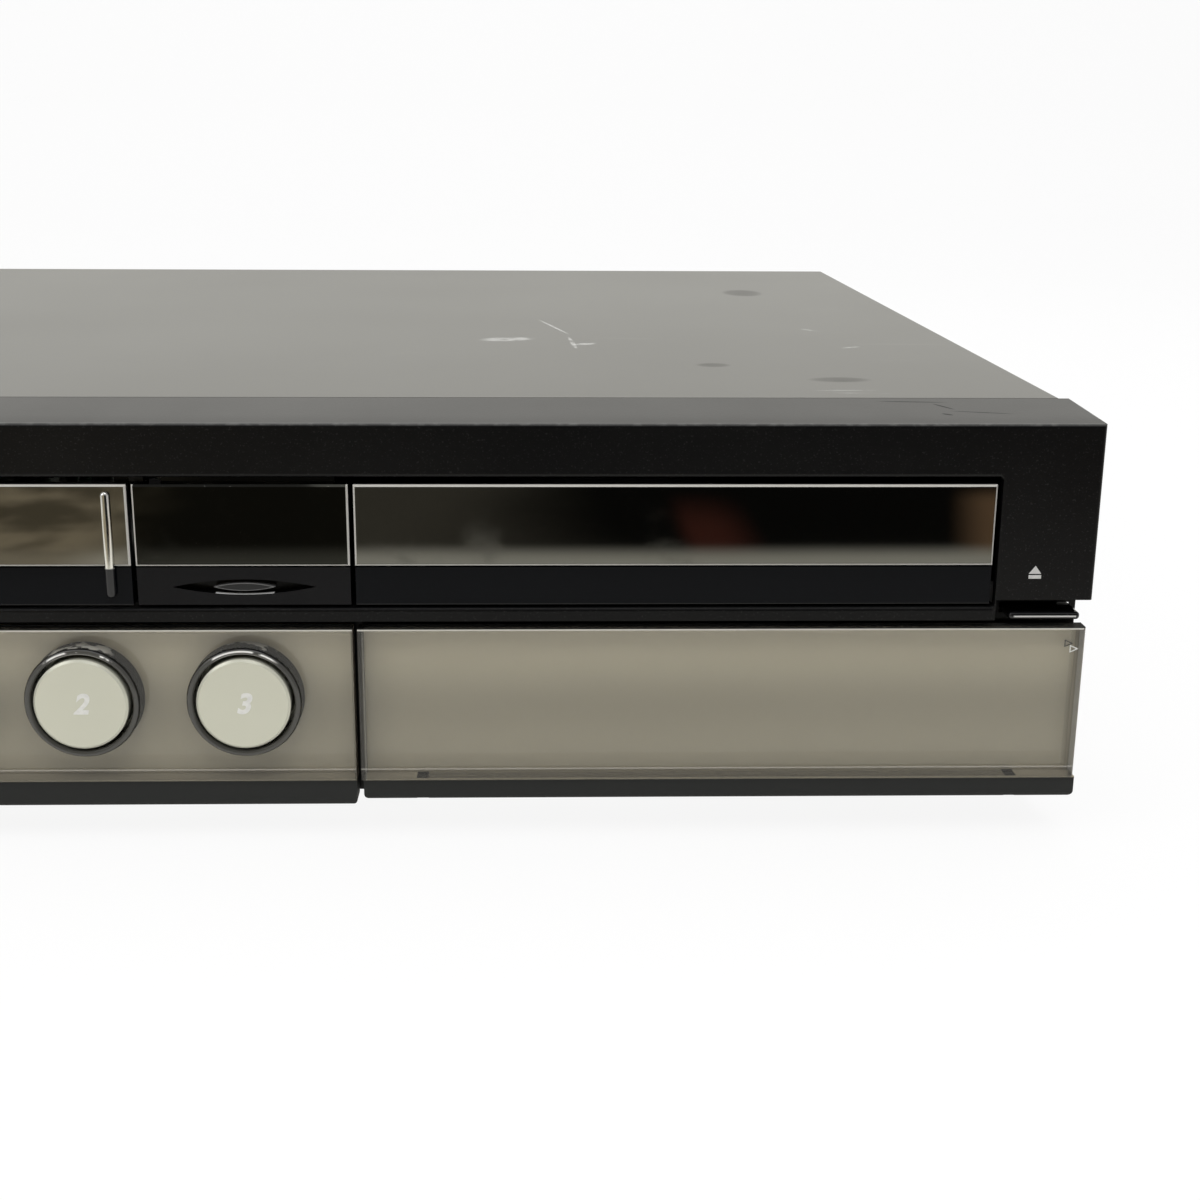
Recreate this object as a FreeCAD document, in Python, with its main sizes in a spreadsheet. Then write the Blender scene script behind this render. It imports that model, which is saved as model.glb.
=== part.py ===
import FreeCAD, Part
import math
import operator
import os

import Sketcher

# A front-loading recorder with a disc tray, a cassette slot and a hard disk, in millimetres.
# X runs to the viewer's right, Y from the front to the back, Z up. The origin is on the floor,
# under the middle of the case.

doc = FreeCAD.newDocument("disc_and_cassette_recorder")
sheet = doc.addObject("Spreadsheet::Sheet", "sizes")
Vector = FreeCAD.Vector
Rotation = FreeCAD.Rotation

SIGNS = {"+": operator.add, "-": operator.sub, "*": operator.mul, "/": operator.truediv}


class Size:
    """A length that knows its value and the formula that ties it to the sheet."""

    def __init__(self, value, formula):
        self.value = value
        self.formula = formula

    def __add__(self, other):
        return worked_out(self, "+", other)

    def __radd__(self, other):
        return worked_out(other, "+", self)

    def __sub__(self, other):
        return worked_out(self, "-", other)

    def __rsub__(self, other):
        return worked_out(other, "-", self)

    def __mul__(self, other):
        return worked_out(self, "*", other)

    def __rmul__(self, other):
        return worked_out(other, "*", self)

    def __truediv__(self, other):
        return worked_out(self, "/", other)

    def __neg__(self):
        return worked_out(0, "-", self)


def number(length):
    return length.value if isinstance(length, Size) else float(length)


def formula(length):
    return length.formula if isinstance(length, Size) else str(length)


def worked_out(first, sign, second):
    value = SIGNS[sign](number(first), number(second))
    return Size(value, f"({formula(first)} {sign} {formula(second)})")


def sine(angle):
    return Size(math.sin(math.radians(angle.value)), f"sin({angle.formula})")


def cosine(angle):
    return Size(math.cos(math.radians(angle.value)), f"cos({angle.formula})")


sheet_rows = []


def size(word, value):
    """Writes one driving dimension into the sheet and hands it back as a Size."""
    sheet_rows.append(word)
    cell = f"A{len(sheet_rows)}"
    sheet.set(cell, str(value))
    sheet.setAlias(cell, word)
    return Size(float(sheet.getContents(cell)), f"sizes.{word}")


# The case.
unit_high = size("unit_high", 96)
foot_high = size("foot_high", 9)
foot_radius = size("foot_radius", 17)
foot_inset = size("foot_inset", 40)
front_proud = size("front_proud", 1.6)
rear_proud = size("rear_proud", 9)
cover_thick = size("cover_thick", 0.8)
floor_thick = size("floor_thick", 1)
flange_high = size("flange_high", 14)
panel_thick = size("panel_thick", 1)
wall = size("wall", 2.2)
seam_gap = size("seam_gap", 0.4)
play = size("play", 0.3)
shaft_play = size("shaft_play", 0.05)
board_thick = size("board_thick", 1.6)
board_lift = size("board_lift", 8)
post_radius = size("post_radius", 3)

# The front bezel and its doors.
bezel_deep = size("bezel_deep", 27)
bezel_overhang = size("bezel_overhang", 1.7)
bezel_drop = size("bezel_drop", 1.1)
edge_round = size("edge_round", 0.8)
pillar_wide = size("pillar_wide", 21.5)
opening_low = size("opening_low", 54.4)
opening_high = size("opening_high", 29)
opening_round = size("opening_round", 0.8)
bar_high = size("bar_high", 3)
notch_high = size("notch_high", 4.6)
door_gap = size("door_gap", 1.1)
door_lift = size("door_lift", 0.7)
door_high = size("door_high", 26.7)
tray_side_room = size("tray_side_room", 1.55)
cassette_side_room = size("cassette_side_room", 5.65)
centre_wide = size("centre_wide", 45.8)
window_high = size("window_high", 17.9)
window_thick = size("window_thick", 3)
window_bevel = size("window_bevel", 0.45)
strip_gap = size("strip_gap", 0.4)
strip_step = size("strip_step", 0.6)
carrier_thick = size("carrier_thick", 2.4)
tray_carrier_thick = size("tray_carrier_thick", 3)
door_pivot_in = size("door_pivot_in", 4.5)
door_pivot_up = size("door_pivot_up", 2.5)
door_pin_radius = size("door_pin_radius", 1.4)
lug_thick = size("lug_thick", 3)
lamp_wide = size("lamp_wide", 13.2)
lamp_high = size("lamp_high", 1.7)
lamp_hollow_wide = size("lamp_hollow_wide", 31)
lamp_hollow_high = size("lamp_hollow_high", 3.4)
lamp_drop = size("lamp_drop", 4.4)

# The two lower panels, their buttons and the sockets behind the right one.
lens_thick = size("lens_thick", 4.4)
lens_high = size("lens_high", 35.2)
lens_low = size("lens_low", 14.3)
lens_round = size("lens_round", 1.2)
lens_inset = size("lens_inset", 0.6)
lens_air = size("lens_air", 0.15)
plate_thick = size("plate_thick", 2)
plate_inset = size("plate_inset", 0.8)
wall_gap = size("wall_gap", 1)
bar_deep = size("bar_deep", 4.9)
bar_round = size("bar_round", 1.6)
bar_reach = size("bar_reach", 0.3)
panel_bar_low = size("panel_bar_low", 7.9)
door_bar_low = size("door_bar_low", 9.2)
hinge_in = size("hinge_in", 3.2)
hinge_up = size("hinge_up", 12.4)
hinge_pin_radius = size("hinge_pin_radius", 0.9)
hinge_lug_radius = size("hinge_lug_radius", 1.7)
hinge_lug_wide = size("hinge_lug_wide", 2)
hinge_inset = size("hinge_inset", 14)
button_up = size("button_up", 32.9)
button_pitch = size("button_pitch", 35.35)
button_inset = size("button_inset", 24.6)
cap_radius = size("cap_radius", 10.3)
ring_hole = size("ring_hole", 0.8)
ring_thick = size("ring_thick", 1.4)
ring_proud = size("ring_proud", 0.8)
cap_bevel = size("cap_bevel", 0.5)
button_travel = size("button_travel", 0.8)
flange_wide = size("flange_wide", 1.4)
flange_thick = size("flange_thick", 1)
power_inset = size("power_inset", 107)
power_radius = size("power_radius", 5)
side_button_wide = size("side_button_wide", 15.8)
side_button_inset = size("side_button_inset", 2.2)
side_button_high = size("side_button_high", 1.75)
side_button_gap = size("side_button_gap", 1.75)
display_wide = size("display_wide", 76)
display_high = size("display_high", 19)
display_deep = size("display_deep", 7)
display_edge = size("display_edge", 11)
front_board_in = size("front_board_in", 22)
switch_wide = size("switch_wide", 6)
jack_bay_inset = size("jack_bay_inset", 10.25)
jack_bay_end = size("jack_bay_end", 10.4)
jack_bay_low = size("jack_bay_low", 16)
jack_bay_high = size("jack_bay_high", 30)
jack_bay_deep = size("jack_bay_deep", 4.6)
jack_pitch = size("jack_pitch", 17)
jack_radius = size("jack_radius", 4.15)
jack_bore = size("jack_bore", 1.7)
aerial_radius = size("aerial_radius", 4.7)
socket_room = size("socket_room", 0.6)
small_cap_wide = size("small_cap_wide", 8)
small_cap_high = size("small_cap_high", 5)

# The cassette deck.
cassette_wide = size("cassette_wide", 187.4)
cassette_high = size("cassette_high", 25)
steel_thick = size("steel_thick", 1.2)
holder_front = size("holder_front", 36)
holder_deep = size("holder_deep", 62)
holder_travel = size("holder_travel", 62)
holder_drop = size("holder_drop", 24)
holder_lip = size("holder_lip", 14)
deck_lift = size("deck_lift", 9)
deck_thick = size("deck_thick", 1.6)
deck_deep = size("deck_deep", 206)
deck_wall_high = size("deck_wall_high", 60)
runner_radius = size("runner_radius", 2)
drum_radius = size("drum_radius", 31)
drum_from_front = size("drum_from_front", 198)
drum_lean = size("drum_lean", 6)
drum_half_high = size("drum_half_high", 17)
reel_spacing = size("reel_spacing", 92)
reel_from_front = size("reel_from_front", 100)
reel_radius = size("reel_radius", 17)
capstan_radius = size("capstan_radius", 2)
capstan_aside = size("capstan_aside", 48)
capstan_from_front = size("capstan_from_front", 176)
flywheel_radius = size("flywheel_radius", 22)
roller_radius = size("roller_radius", 7)
roller_gap = size("roller_gap", 5)
arm_long = size("arm_long", 24)

# The disc drive.
drive_front = size("drive_front", 31)
drive_long = size("drive_long", 176)
drive_low = size("drive_low", 40)
drive_wall = size("drive_wall", 2)
drive_wall_high = size("drive_wall_high", 32)
tray_wide = size("tray_wide", 135)
tray_gap = size("tray_gap", 7)
tray_top = size("tray_top", 68)
tray_thick = size("tray_thick", 4)
tray_skirt = size("tray_skirt", 8)
disc_radius = size("disc_radius", 60)
disc_deep = size("disc_deep", 2)
spindle_from_front = size("spindle_from_front", 101)
tooth_module = size("tooth_module", 1)
gear_teeth = 24
pinion_teeth = 12
rack_teeth = 50
gear_from_front = size("gear_from_front", 46)
gear_thick = size("gear_thick", 3.2)
gear_post = size("gear_post", 2)
tooth_slack = size("tooth_slack", 0.16)
traverse_drop = size("traverse_drop", 17)
traverse_wide = size("traverse_wide", 66)
traverse_gap = size("traverse_gap", 14)
turntable_radius = size("turntable_radius", 14)
clamp_radius = size("clamp_radius", 11.5)
rod_radius = size("rod_radius", 1.5)

# The disk, the boards, the fan and the rear sockets.
disk_wide = size("disk_wide", 147)
disk_deep = size("disk_deep", 101.6)
disk_high = size("disk_high", 26.1)
disk_low = size("disk_low", 46)
disk_gap = size("disk_gap", 18.3)
disk_room = size("disk_room", 18)
chip_wide = size("chip_wide", 15)
sink_wide = size("sink_wide", 35)
sink_high = size("sink_high", 14)
capacitor_radius = size("capacitor_radius", 4)
reservoir_radius = size("reservoir_radius", 12.5)
transformer_wide = size("transformer_wide", 36)
fan_wide = size("fan_wide", 60)
fan_deep = size("fan_deep", 15)
fan_inset = size("fan_inset", 130)
fan_low = size("fan_low", 26)
fan_hub = size("fan_hub", 12)
fan_blades = 7
screw_radius = size("screw_radius", 3)
screw_head = size("screw_head", 1.6)
screw_shank = size("screw_shank", 1.5)

# The doors follow the cassette and the tray, and the case follows its doors and its contents.
cassette_door_wide = cassette_wide + cassette_side_room * 2
tray_door_wide = tray_wide + tray_side_room * 2
opening_wide = cassette_door_wide + centre_wide + tray_door_wide + door_gap * 4
unit_wide = opening_wide + pillar_wide * 2
case_deep = drive_front + drive_long + disk_gap + disk_deep + disk_room + panel_thick + cover_thick

# Places that follow from those sizes.
half_wide = unit_wide / 2
front = -(case_deep + rear_proud - front_proud) / 2
back = front + case_deep
floor_top = foot_high + floor_thick
cover_half = half_wide - bezel_overhang
cover_inside = cover_half - cover_thick
panel_out = back - cover_thick
panel_in = panel_out - panel_thick
opening_half = opening_wide / 2
opening_top = opening_low + opening_high
bar_low = opening_low - bar_high
notch_side = opening_half + play
notch_top = bar_low + notch_high
door_low = opening_low + door_lift
door_top = door_low + door_high
window_low = door_top - window_high
strip_top = window_low - strip_gap
tray_door_right = opening_half - door_gap
tray_door_left = tray_door_right - tray_door_wide
centre_right = tray_door_left - door_gap
centre_left = centre_right - centre_wide
cassette_right = centre_left - door_gap
cassette_left = -opening_half + door_gap
window_back = front + window_thick
lens_back = front + lens_thick
panel_front = lens_back + lens_air
plate_back = panel_front + plate_thick
lower_wall_front = plate_back + wall_gap
lower_wall_back = lower_wall_front + wall
lens_top = lens_low + lens_high
divider_half = door_gap / 2
divider_place = centre_right + divider_half
button_place = divider_place - button_inset
power_place = half_wide - power_inset
lens_side = half_wide - lens_inset
ring_inner = cap_radius + ring_hole
ring_outer = ring_inner + ring_thick
board_front = front + front_board_in
board_back = board_front + board_thick
jack_bay_left = divider_place + jack_bay_inset
jack_bay_right = lens_side - jack_bay_end
jack_bay_top = jack_bay_low + jack_bay_high
jack_bay_floor = lower_wall_back + jack_bay_deep
deck_middle = (cassette_left + cassette_right) / 2
drive_middle = (tray_door_left + tray_door_right) / 2
boards_low = floor_top + board_lift
boards_top = boards_low + board_thick


def bind(thing, name, length):
    thing.setExpression(name, formula(length))


def placed(thing, x, y, z):
    bind(thing, ".Placement.Base.x", x)
    bind(thing, ".Placement.Base.y", y)
    bind(thing, ".Placement.Base.z", z)
    return thing


def block(x, y, z):
    """A box between two places on each axis."""
    thing = doc.addObject("Part::Box", "block")
    bind(thing, "Length", x[1] - x[0])
    bind(thing, "Width", y[1] - y[0])
    bind(thing, "Height", z[1] - z[0])
    return placed(thing, x[0], y[0], z[0])


def wide_block(middle, wide, y, z):
    return block((middle - wide / 2, middle + wide / 2), y, z)


TURNS = {"X": Rotation(Vector(0, 1, 0), 90), "Y": Rotation(Vector(1, 0, 0), -90), "Z": Rotation()}


def rod(x, y, z, radius, length, along="Z"):
    """A round bar that starts at a place and runs along one axis."""
    thing = doc.addObject("Part::Cylinder", "rod")
    thing.Placement = FreeCAD.Placement(Vector(), TURNS[along])
    bind(thing, "Radius", radius)
    bind(thing, "Height", length)
    return placed(thing, x, y, z)


def cone(x, y, z, radius, end_radius, length, along="Z"):
    thing = doc.addObject("Part::Cone", "cone")
    thing.Placement = FreeCAD.Placement(Vector(), TURNS[along])
    bind(thing, "Radius1", radius)
    bind(thing, "Radius2", end_radius)
    bind(thing, "Height", length)
    return placed(thing, x, y, z)


def joined(*things):
    if len(things) == 1:
        return things[0]
    thing = doc.addObject("Part::MultiFuse", "joined")
    thing.Shapes = list(things)
    return thing


def cut(base, *tools):
    thing = doc.addObject("Part::Cut", "cut")
    thing.Base = base
    thing.Tool = joined(*tools)
    return thing


def common(first, second):
    thing = doc.addObject("Part::Common", "common")
    thing.Base = first
    thing.Tool = second
    return thing


def group(*things):
    """Separate solids that share one node."""
    thing = doc.addObject("Part::Compound", "group")
    thing.Links = list(things)
    return thing


def shaped(shape):
    """A piece whose outline comes from a formula, such as a gear."""
    thing = doc.addObject("Part::Feature", "shaped")
    thing.Shape = shape
    thing.Placement = shape.Placement
    return thing


finished = []


def named(label, thing):
    thing.Label = label
    finished.append(thing)
    return thing


PLANES = {"XY": ("XY_Plane", 1), "XZ": ("XZ_Plane", -1), "YZ": ("YZ_Plane", 1)}


def new_body(label):
    return named(label, doc.addObject("PartDesign::Body", label))


def sketch_on(body, plane, place):
    role, normal = PLANES[plane]
    sketch = body.newObject("Sketcher::SketchObject", "outline")
    flat = [item for item in body.Origin.OriginFeatures if item.Role == role][0]
    sketch.AttachmentSupport = [(flat, "")]
    sketch.MapMode = "FlatFace"
    bind(sketch, "AttachmentOffset.Base.z", place * normal)
    return sketch


def hold(sketch, kind, item, end, length):
    at = sketch.addConstraint(Sketcher.Constraint(kind, -1, 1, item, end, number(length)))
    sketch.setExpression(f"Constraints[{at}]", formula(length))


def add_polygon(sketch, corners):
    first = sketch.GeometryCount
    spots = [Vector(number(a), number(b), 0) for a, b in corners]
    count = len(corners)
    for n in range(count):
        sketch.addGeometry(Part.LineSegment(spots[n], spots[(n + 1) % count]))
    for n in range(count):
        sketch.addConstraint(Sketcher.Constraint("Coincident", first + n, 2, first + (n + 1) % count, 1))
    for n, (a, b) in enumerate(corners):
        hold(sketch, "DistanceX", first + n, 1, a)
        hold(sketch, "DistanceY", first + n, 1, b)


def add_rectangle(sketch, across, up):
    add_polygon(sketch, [(across[0], up[0]), (across[1], up[0]), (across[1], up[1]), (across[0], up[1])])


def add_circle(sketch, a, b, radius):
    item = sketch.addGeometry(Part.Circle(Vector(number(a), number(b), 0), Vector(0, 0, 1), number(radius)))
    hold(sketch, "DistanceX", item, 3, a)
    hold(sketch, "DistanceY", item, 3, b)
    at = sketch.addConstraint(Sketcher.Constraint("Radius", item, number(radius)))
    sketch.setExpression(f"Constraints[{at}]", formula(radius))


def pad(body, plane, sketch, length):
    """Grows a sketch along the positive axis that its plane faces."""
    feature = body.newObject("PartDesign::Pad", "pad")
    feature.Profile = sketch
    feature.Reversed = PLANES[plane][1] < 0
    bind(feature, "Length", length)
    doc.recompute()
    return feature


def pocket(body, plane, sketch, length):
    """Cuts a sketch along the positive axis that its plane faces, and proves that it cut."""
    before = body.Tip.Shape.Volume
    feature = body.newObject("PartDesign::Pocket", "pocket")
    feature.Profile = sketch
    feature.Reversed = PLANES[plane][1] > 0
    bind(feature, "Length", length)
    doc.recompute()
    if not feature.Shape.Volume < before - 0.001:
        raise RuntimeError(f"a pocket in {body.Label} cuts nothing")
    return feature


def dress(body, kind, amount, wanted):
    """Rounds or bevels the edges that the test picks."""
    tip = body.Tip
    edges = [f"Edge{n + 1}" for n, edge in enumerate(tip.Shape.Edges) if wanted(edge)]
    if not edges:
        raise RuntimeError(f"no edge to dress in {body.Label}")
    feature = body.newObject(f"PartDesign::{kind}", kind.lower())
    feature.Base = (tip, edges)
    bind(feature, "Radius" if kind == "Fillet" else "Size", amount)
    doc.recompute()
    return feature


def near(first, second):
    return abs(number(first) - number(second)) < 0.001


def all_at(edge, axis, place):
    """True where every corner of the edge lies at one place on the axis."""
    return all(near(getattr(vertex.Point, axis), place) for vertex in edge.Vertexes)


def box_body(label, x, y, z):
    """A plate or bar as a body: a front outline padded to its depth."""
    body = new_body(label)
    sketch = sketch_on(body, "XZ", y[0])
    add_rectangle(sketch, x, z)
    pad(body, "XZ", sketch, y[1] - y[0])
    return body


def screw_holes(places, y, radius):
    return [rod(x, y, z, radius, panel_thick * 3, "Y") for x, z in places]


# Where the screws go, so that the holes and the screws share one list.
top_screw_up = unit_high - cover_thick - screw_radius * 2
side_screw_up = foot_high + flange_high / 2 + 1
side_screw_places = [front + case_deep * 0.3, front + case_deep * 0.8]
top_screw_places = [(cover_half * 0.9 * side, top_screw_up) for side in (-1, 0.25, 1)]
low_screw_places = [(cover_half * 0.94 * side, floor_top + flange_high / 4) for side in (-1, -0.31, 1)]
foot_places = [(side * (half_wide - foot_inset), front + bezel_deep + foot_inset / 2) for side in (-1, 1)]
foot_places += [(side * (half_wide - foot_inset), back - foot_inset) for side in (-1, 1)]


def make_top_cover():
    """A sheet steel hood, folded down on both sides."""
    body = new_body("top_cover")
    start = front + bezel_deep + seam_gap
    sketch = sketch_on(body, "XZ", start)
    low = foot_high + floor_thick / 2
    add_polygon(sketch, [
        (-cover_half, low), (-cover_inside, low), (-cover_inside, unit_high - cover_thick),
        (cover_inside, unit_high - cover_thick), (cover_inside, low), (cover_half, low),
        (cover_half, unit_high), (-cover_half, unit_high)])
    pad(body, "XZ", sketch, back - start)
    dress(body, "Fillet", edge_round, lambda edge: all_at(edge, "z", unit_high)
          and (all_at(edge, "x", cover_half) or all_at(edge, "x", -cover_half)))
    lip = sketch_on(body, "XZ", panel_out)
    add_rectangle(lip, (-cover_inside, cover_inside), (unit_high - screw_radius * 4, unit_high - cover_thick))
    pad(body, "XZ", lip, cover_thick)
    holes = sketch_on(body, "YZ", -cover_half - 1)
    for place in side_screw_places:
        add_circle(holes, place, side_screw_up, screw_shank + shaft_play)
    pocket(body, "YZ", holes, cover_half * 2 + 2)
    rear_holes = sketch_on(body, "XZ", panel_out - 1)
    for x, z in top_screw_places:
        add_circle(rear_holes, x, z, screw_shank + shaft_play)
    pocket(body, "XZ", rear_holes, cover_thick + 2)
    return body


def make_chassis_base():
    """A sheet steel tray with folded sides, and the posts that carry what stands in it."""
    side = cover_inside
    start = lower_wall_back
    floor = block((-side, side), (start, panel_in), (foot_high, floor_top))
    flanges = [
        block((-side, floor_thick - side), (front + bezel_deep, panel_in),
              (foot_high, floor_top + flange_high)),
        block((side - floor_thick, side), (front + bezel_deep, panel_in),
              (foot_high, floor_top + flange_high)),
        block((-side, side), (panel_in - floor_thick, panel_in), (foot_high, floor_top + flange_high / 2))]
    posts = []
    for x, y in deck_feet():
        posts.append(rod(x, y, foot_high, post_radius, deck_lift + floor_thick))
    for x, y in drive_feet():
        posts.append(rod(x, y, foot_high, post_radius, drive_low - foot_high))
    for x, y in disk_feet():
        posts.append(rod(x, y, foot_high, post_radius, disk_low - foot_high))
    for x, y in board_feet():
        posts.append(rod(x, y, foot_high, post_radius, boards_low - foot_high))
    holes = [rod(-side - 1, y, side_screw_up, screw_shank + shaft_play, side * 2 + 2, "X")
             for y in side_screw_places]
    holes += [rod(x, panel_in - floor_thick * 2, z, screw_shank + shaft_play, floor_thick * 3, "Y")
              for x, z in low_screw_places]
    slots = [wide_block(cover_half * 0.25 + n * screw_radius * 4, screw_radius,
                        (back - foot_inset * 3, back - foot_inset * 2), (foot_high - 1, floor_top + 1))
             for n in range(8)]
    return named("chassis_base", cut(joined(floor, *flanges, *posts), *holes, *slots))


def deck_feet():
    edge = cassette_wide / 2 - post_radius * 2
    return [(deck_middle + side * edge, front + holder_front + place)
            for side in (-1, 1) for place in (post_radius * 2,
                                              deck_deep - post_radius * 2 - holder_front / 2)]


def drive_feet():
    edge = tray_wide / 2 - post_radius * 2
    return [(drive_middle + side * edge, front + drive_front + place)
            for side in (-1, 1) for place in (post_radius * 3, drive_long - post_radius * 3)]


disk_left = drive_middle - disk_wide / 2
disk_front = front + drive_front + drive_long + disk_gap
disk_back = disk_front + disk_deep


def disk_feet():
    return [(x, y) for x in (disk_left + post_radius * 2, disk_left + disk_wide - post_radius * 2)
            for y in (disk_front + disk_deep * 0.2, disk_back - disk_deep * 0.2)]


main_left = disk_left + post_radius * 6
main_right = disk_left + disk_wide - post_radius * 6
main_front = front + bezel_deep + foot_inset
wing_left = -half_wide * 0.25
wing_front = front + drum_from_front + drum_radius + foot_high * 2
power_left = -cover_inside + floor_thick + screw_head * 2
power_right = wing_left - foot_high
power_front = wing_front


def board_feet():
    inset = post_radius * 2
    main = [(x, y) for x in (main_left + inset, main_right - inset)
            for y in (main_front + inset, panel_in - inset * 2)]
    wing = [(wing_left + inset, y) for y in (wing_front + inset, panel_in - inset * 2)]
    power = [(x, y) for x in (power_left + inset, power_right - inset)
             for y in (power_front + inset, panel_in - inset * 2)]
    return main + wing + power


# The sockets in the rear panel, each as its middle, its height and its hole.
rear_jack_columns = [wing_left + half_wide * share for share in (0.3, 0.4, 0.5)]
rear_jack_rows = [boards_top + share * jack_pitch for share in (0.45, 1.25, 2.05)]
aerial_middle = wing_left + half_wide * 0.12
aerial_rows = [boards_top + jack_pitch * share for share in (0.6, 1.7)]
hdmi_middle = wing_left + half_wide * 0.66
network_middle = wing_left + half_wide * 0.8
inlet_middle = power_left + half_wide * 0.12
inlet_high = foot_high * 2
fan_middle = fan_inset - half_wide
fan_up = fan_low + fan_wide / 2


def make_rear_panel():
    """A sheet steel back with holes for the sockets and a grille in front of the fan."""
    plate = block((-cover_inside, cover_inside), (panel_in, panel_out), (foot_high, unit_high - cover_thick))
    through = (panel_in - 1, panel_out + 1)
    deep = panel_thick + 2
    tools = screw_holes(top_screw_places + low_screw_places, panel_in - panel_thick, screw_shank + shaft_play)
    for x in rear_jack_columns:
        tools += [rod(x, through[0], z, jack_radius + socket_room, deep, "Y") for z in rear_jack_rows]
    for z in aerial_rows:
        tools.append(rod(aerial_middle, through[0], z, aerial_radius + socket_room, deep, "Y"))
    tools.append(wide_block(hdmi_middle, jack_pitch - 1, through, (boards_top, boards_top + 7)))
    tools.append(wide_block(network_middle, jack_pitch, through,
                            (boards_top, boards_top + jack_pitch * 0.85)))
    tools.append(wide_block(inlet_middle, inlet_high * 1.5, through, (boards_top, boards_top + inlet_high)))
    for n in range(-5, 6):
        rise = fan_wide / 24 * 2 * n
        width = fan_wide * math.sqrt(1 - (n / 6) ** 2) * 0.94
        tools.append(wide_block(fan_middle, width, through, (fan_up + rise, fan_up + rise + fan_wide / 24)))
    for n in range(10):
        place = drive_middle + (n - 4.5) * 7
        tools.append(wide_block(place, wall, through, (unit_high * 0.62, unit_high * 0.85)))
    return named("rear_panel", cut(plate, *tools))


lower_holes_wide = ring_inner + play
button_places = [button_place - button_pitch * n for n in (2, 1, 0)]
side_button_right = half_wide - side_button_inset
side_button_left = side_button_right - side_button_wide
side_button_low = lens_top + side_button_gap
side_button_top = side_button_low + side_button_high
display_left = -lens_side + display_edge
display_low = button_up - display_high / 2
hinge_places = [divider_place + hinge_inset, lens_side - hinge_inset]
door_pivot_y = front + door_pivot_in
door_pivot_z = opening_top + door_pivot_up


def add_display_window(sketch, grow):
    add_rectangle(sketch, (display_left - grow, display_left + display_wide + grow),
                  (display_low - grow, display_low + display_high + grow))


def make_front_bezel():
    """The plastic front: a hood above, a frame round the doors, and a wall behind the lower panels."""
    body = new_body("front_bezel")
    profile = sketch_on(body, "YZ", -half_wide)
    front_top = unit_high - bezel_drop
    bezel_back = front + bezel_deep
    add_polygon(profile, [(front, bar_low), (bezel_back, bar_low), (bezel_back, unit_high),
                          (front, front_top)])
    pad(body, "YZ", profile, unit_wide)
    dress(body, "Fillet", edge_round,
          lambda edge: all_at(edge, "y", front) and not all_at(edge, "z", bar_low))
    inside = half_wide - wall
    shelf = sketch_on(body, "XZ", lower_wall_back)
    add_rectangle(shelf, (-inside, inside), (bar_low - 1, opening_low))
    pocket(body, "XZ", shelf, bezel_back - lower_wall_back + 1)
    hollow = sketch_on(body, "XZ", front + wall)
    add_rectangle(hollow, (-inside, inside), (opening_low, front_top - wall))
    pocket(body, "XZ", hollow, bezel_deep)
    notches = sketch_on(body, "XZ", front - 1)
    add_rectangle(notches, (notch_side, half_wide + 1), (bar_low - 1, notch_top))
    add_rectangle(notches, (-half_wide - 1, -notch_side), (bar_low - 1, notch_top))
    pocket(body, "XZ", notches, bezel_deep + 2)
    lower = sketch_on(body, "XZ", lower_wall_front)
    reach = half_wide - wall / 2
    step = notch_top + wall
    inset = bezel_overhang * 3
    add_polygon(lower, [(inset - reach, foot_high), (reach - inset, foot_high), (reach, foot_high + wall),
                        (reach, step), (opening_half, step), (opening_half, opening_low),
                        (-opening_half, opening_low), (-opening_half, step), (-reach, step),
                        (-reach, foot_high + wall)])
    pad(body, "XZ", lower, wall)
    opening = sketch_on(body, "XZ", front - 1)
    add_rectangle(opening, (-opening_half, opening_half), (opening_low, opening_top))
    pocket(body, "XZ", opening, wall + 2)
    dress(body, "Fillet", opening_round, is_opening_corner)
    holes = sketch_on(body, "XZ", lower_wall_front - 1)
    for place in button_places:
        add_circle(holes, place, button_up, lower_holes_wide)
    add_circle(holes, -power_place, button_up, power_radius + play)
    add_display_window(holes, play)
    add_rectangle(holes, (jack_bay_left, jack_bay_right), (jack_bay_low, jack_bay_top))
    for left in (side_button_left, -side_button_right):
        add_rectangle(holes, (left - play, left + side_button_wide + play),
                      (side_button_low - play, side_button_top + play))
    pocket(body, "XZ", holes, wall + 2)
    for left in (cassette_left - play - lug_thick, cassette_right + play):
        lug = sketch_on(body, "YZ", left)
        add_rectangle(lug, (front + wall, door_pivot_y + door_pin_radius * 2),
                      (door_top + play, door_pivot_z + door_pin_radius * 2))
        add_circle(lug, door_pivot_y, door_pivot_z, door_pin_radius + shaft_play)
        pad(body, "YZ", lug, lug_thick)
    for place in hinge_places:
        lug = sketch_on(body, "YZ", place - hinge_lug_wide / 2)
        add_rectangle(lug, (front + hinge_in + hinge_pin_radius + play, lower_wall_front + play),
                      (hinge_up - hinge_lug_radius, hinge_up + hinge_lug_radius))
        pad(body, "YZ", lug, hinge_lug_wide)
        eye = sketch_on(body, "YZ", place - hinge_lug_wide / 2)
        add_circle(eye, front + hinge_in, hinge_up, hinge_lug_radius)
        add_circle(eye, front + hinge_in, hinge_up, hinge_pin_radius + shaft_play)
        pad(body, "YZ", eye, hinge_lug_wide)
    return body


def is_opening_corner(edge):
    ends = [vertex.Point for vertex in edge.Vertexes]
    across = all(near(abs(end.x), opening_half) for end in ends)
    level = all(near(end.z, opening_low) for end in ends) or all(near(end.z, opening_top) for end in ends)
    return across and level and min(end.y for end in ends) < number(front + wall) - 0.5 and len(ends) == 2


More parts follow.
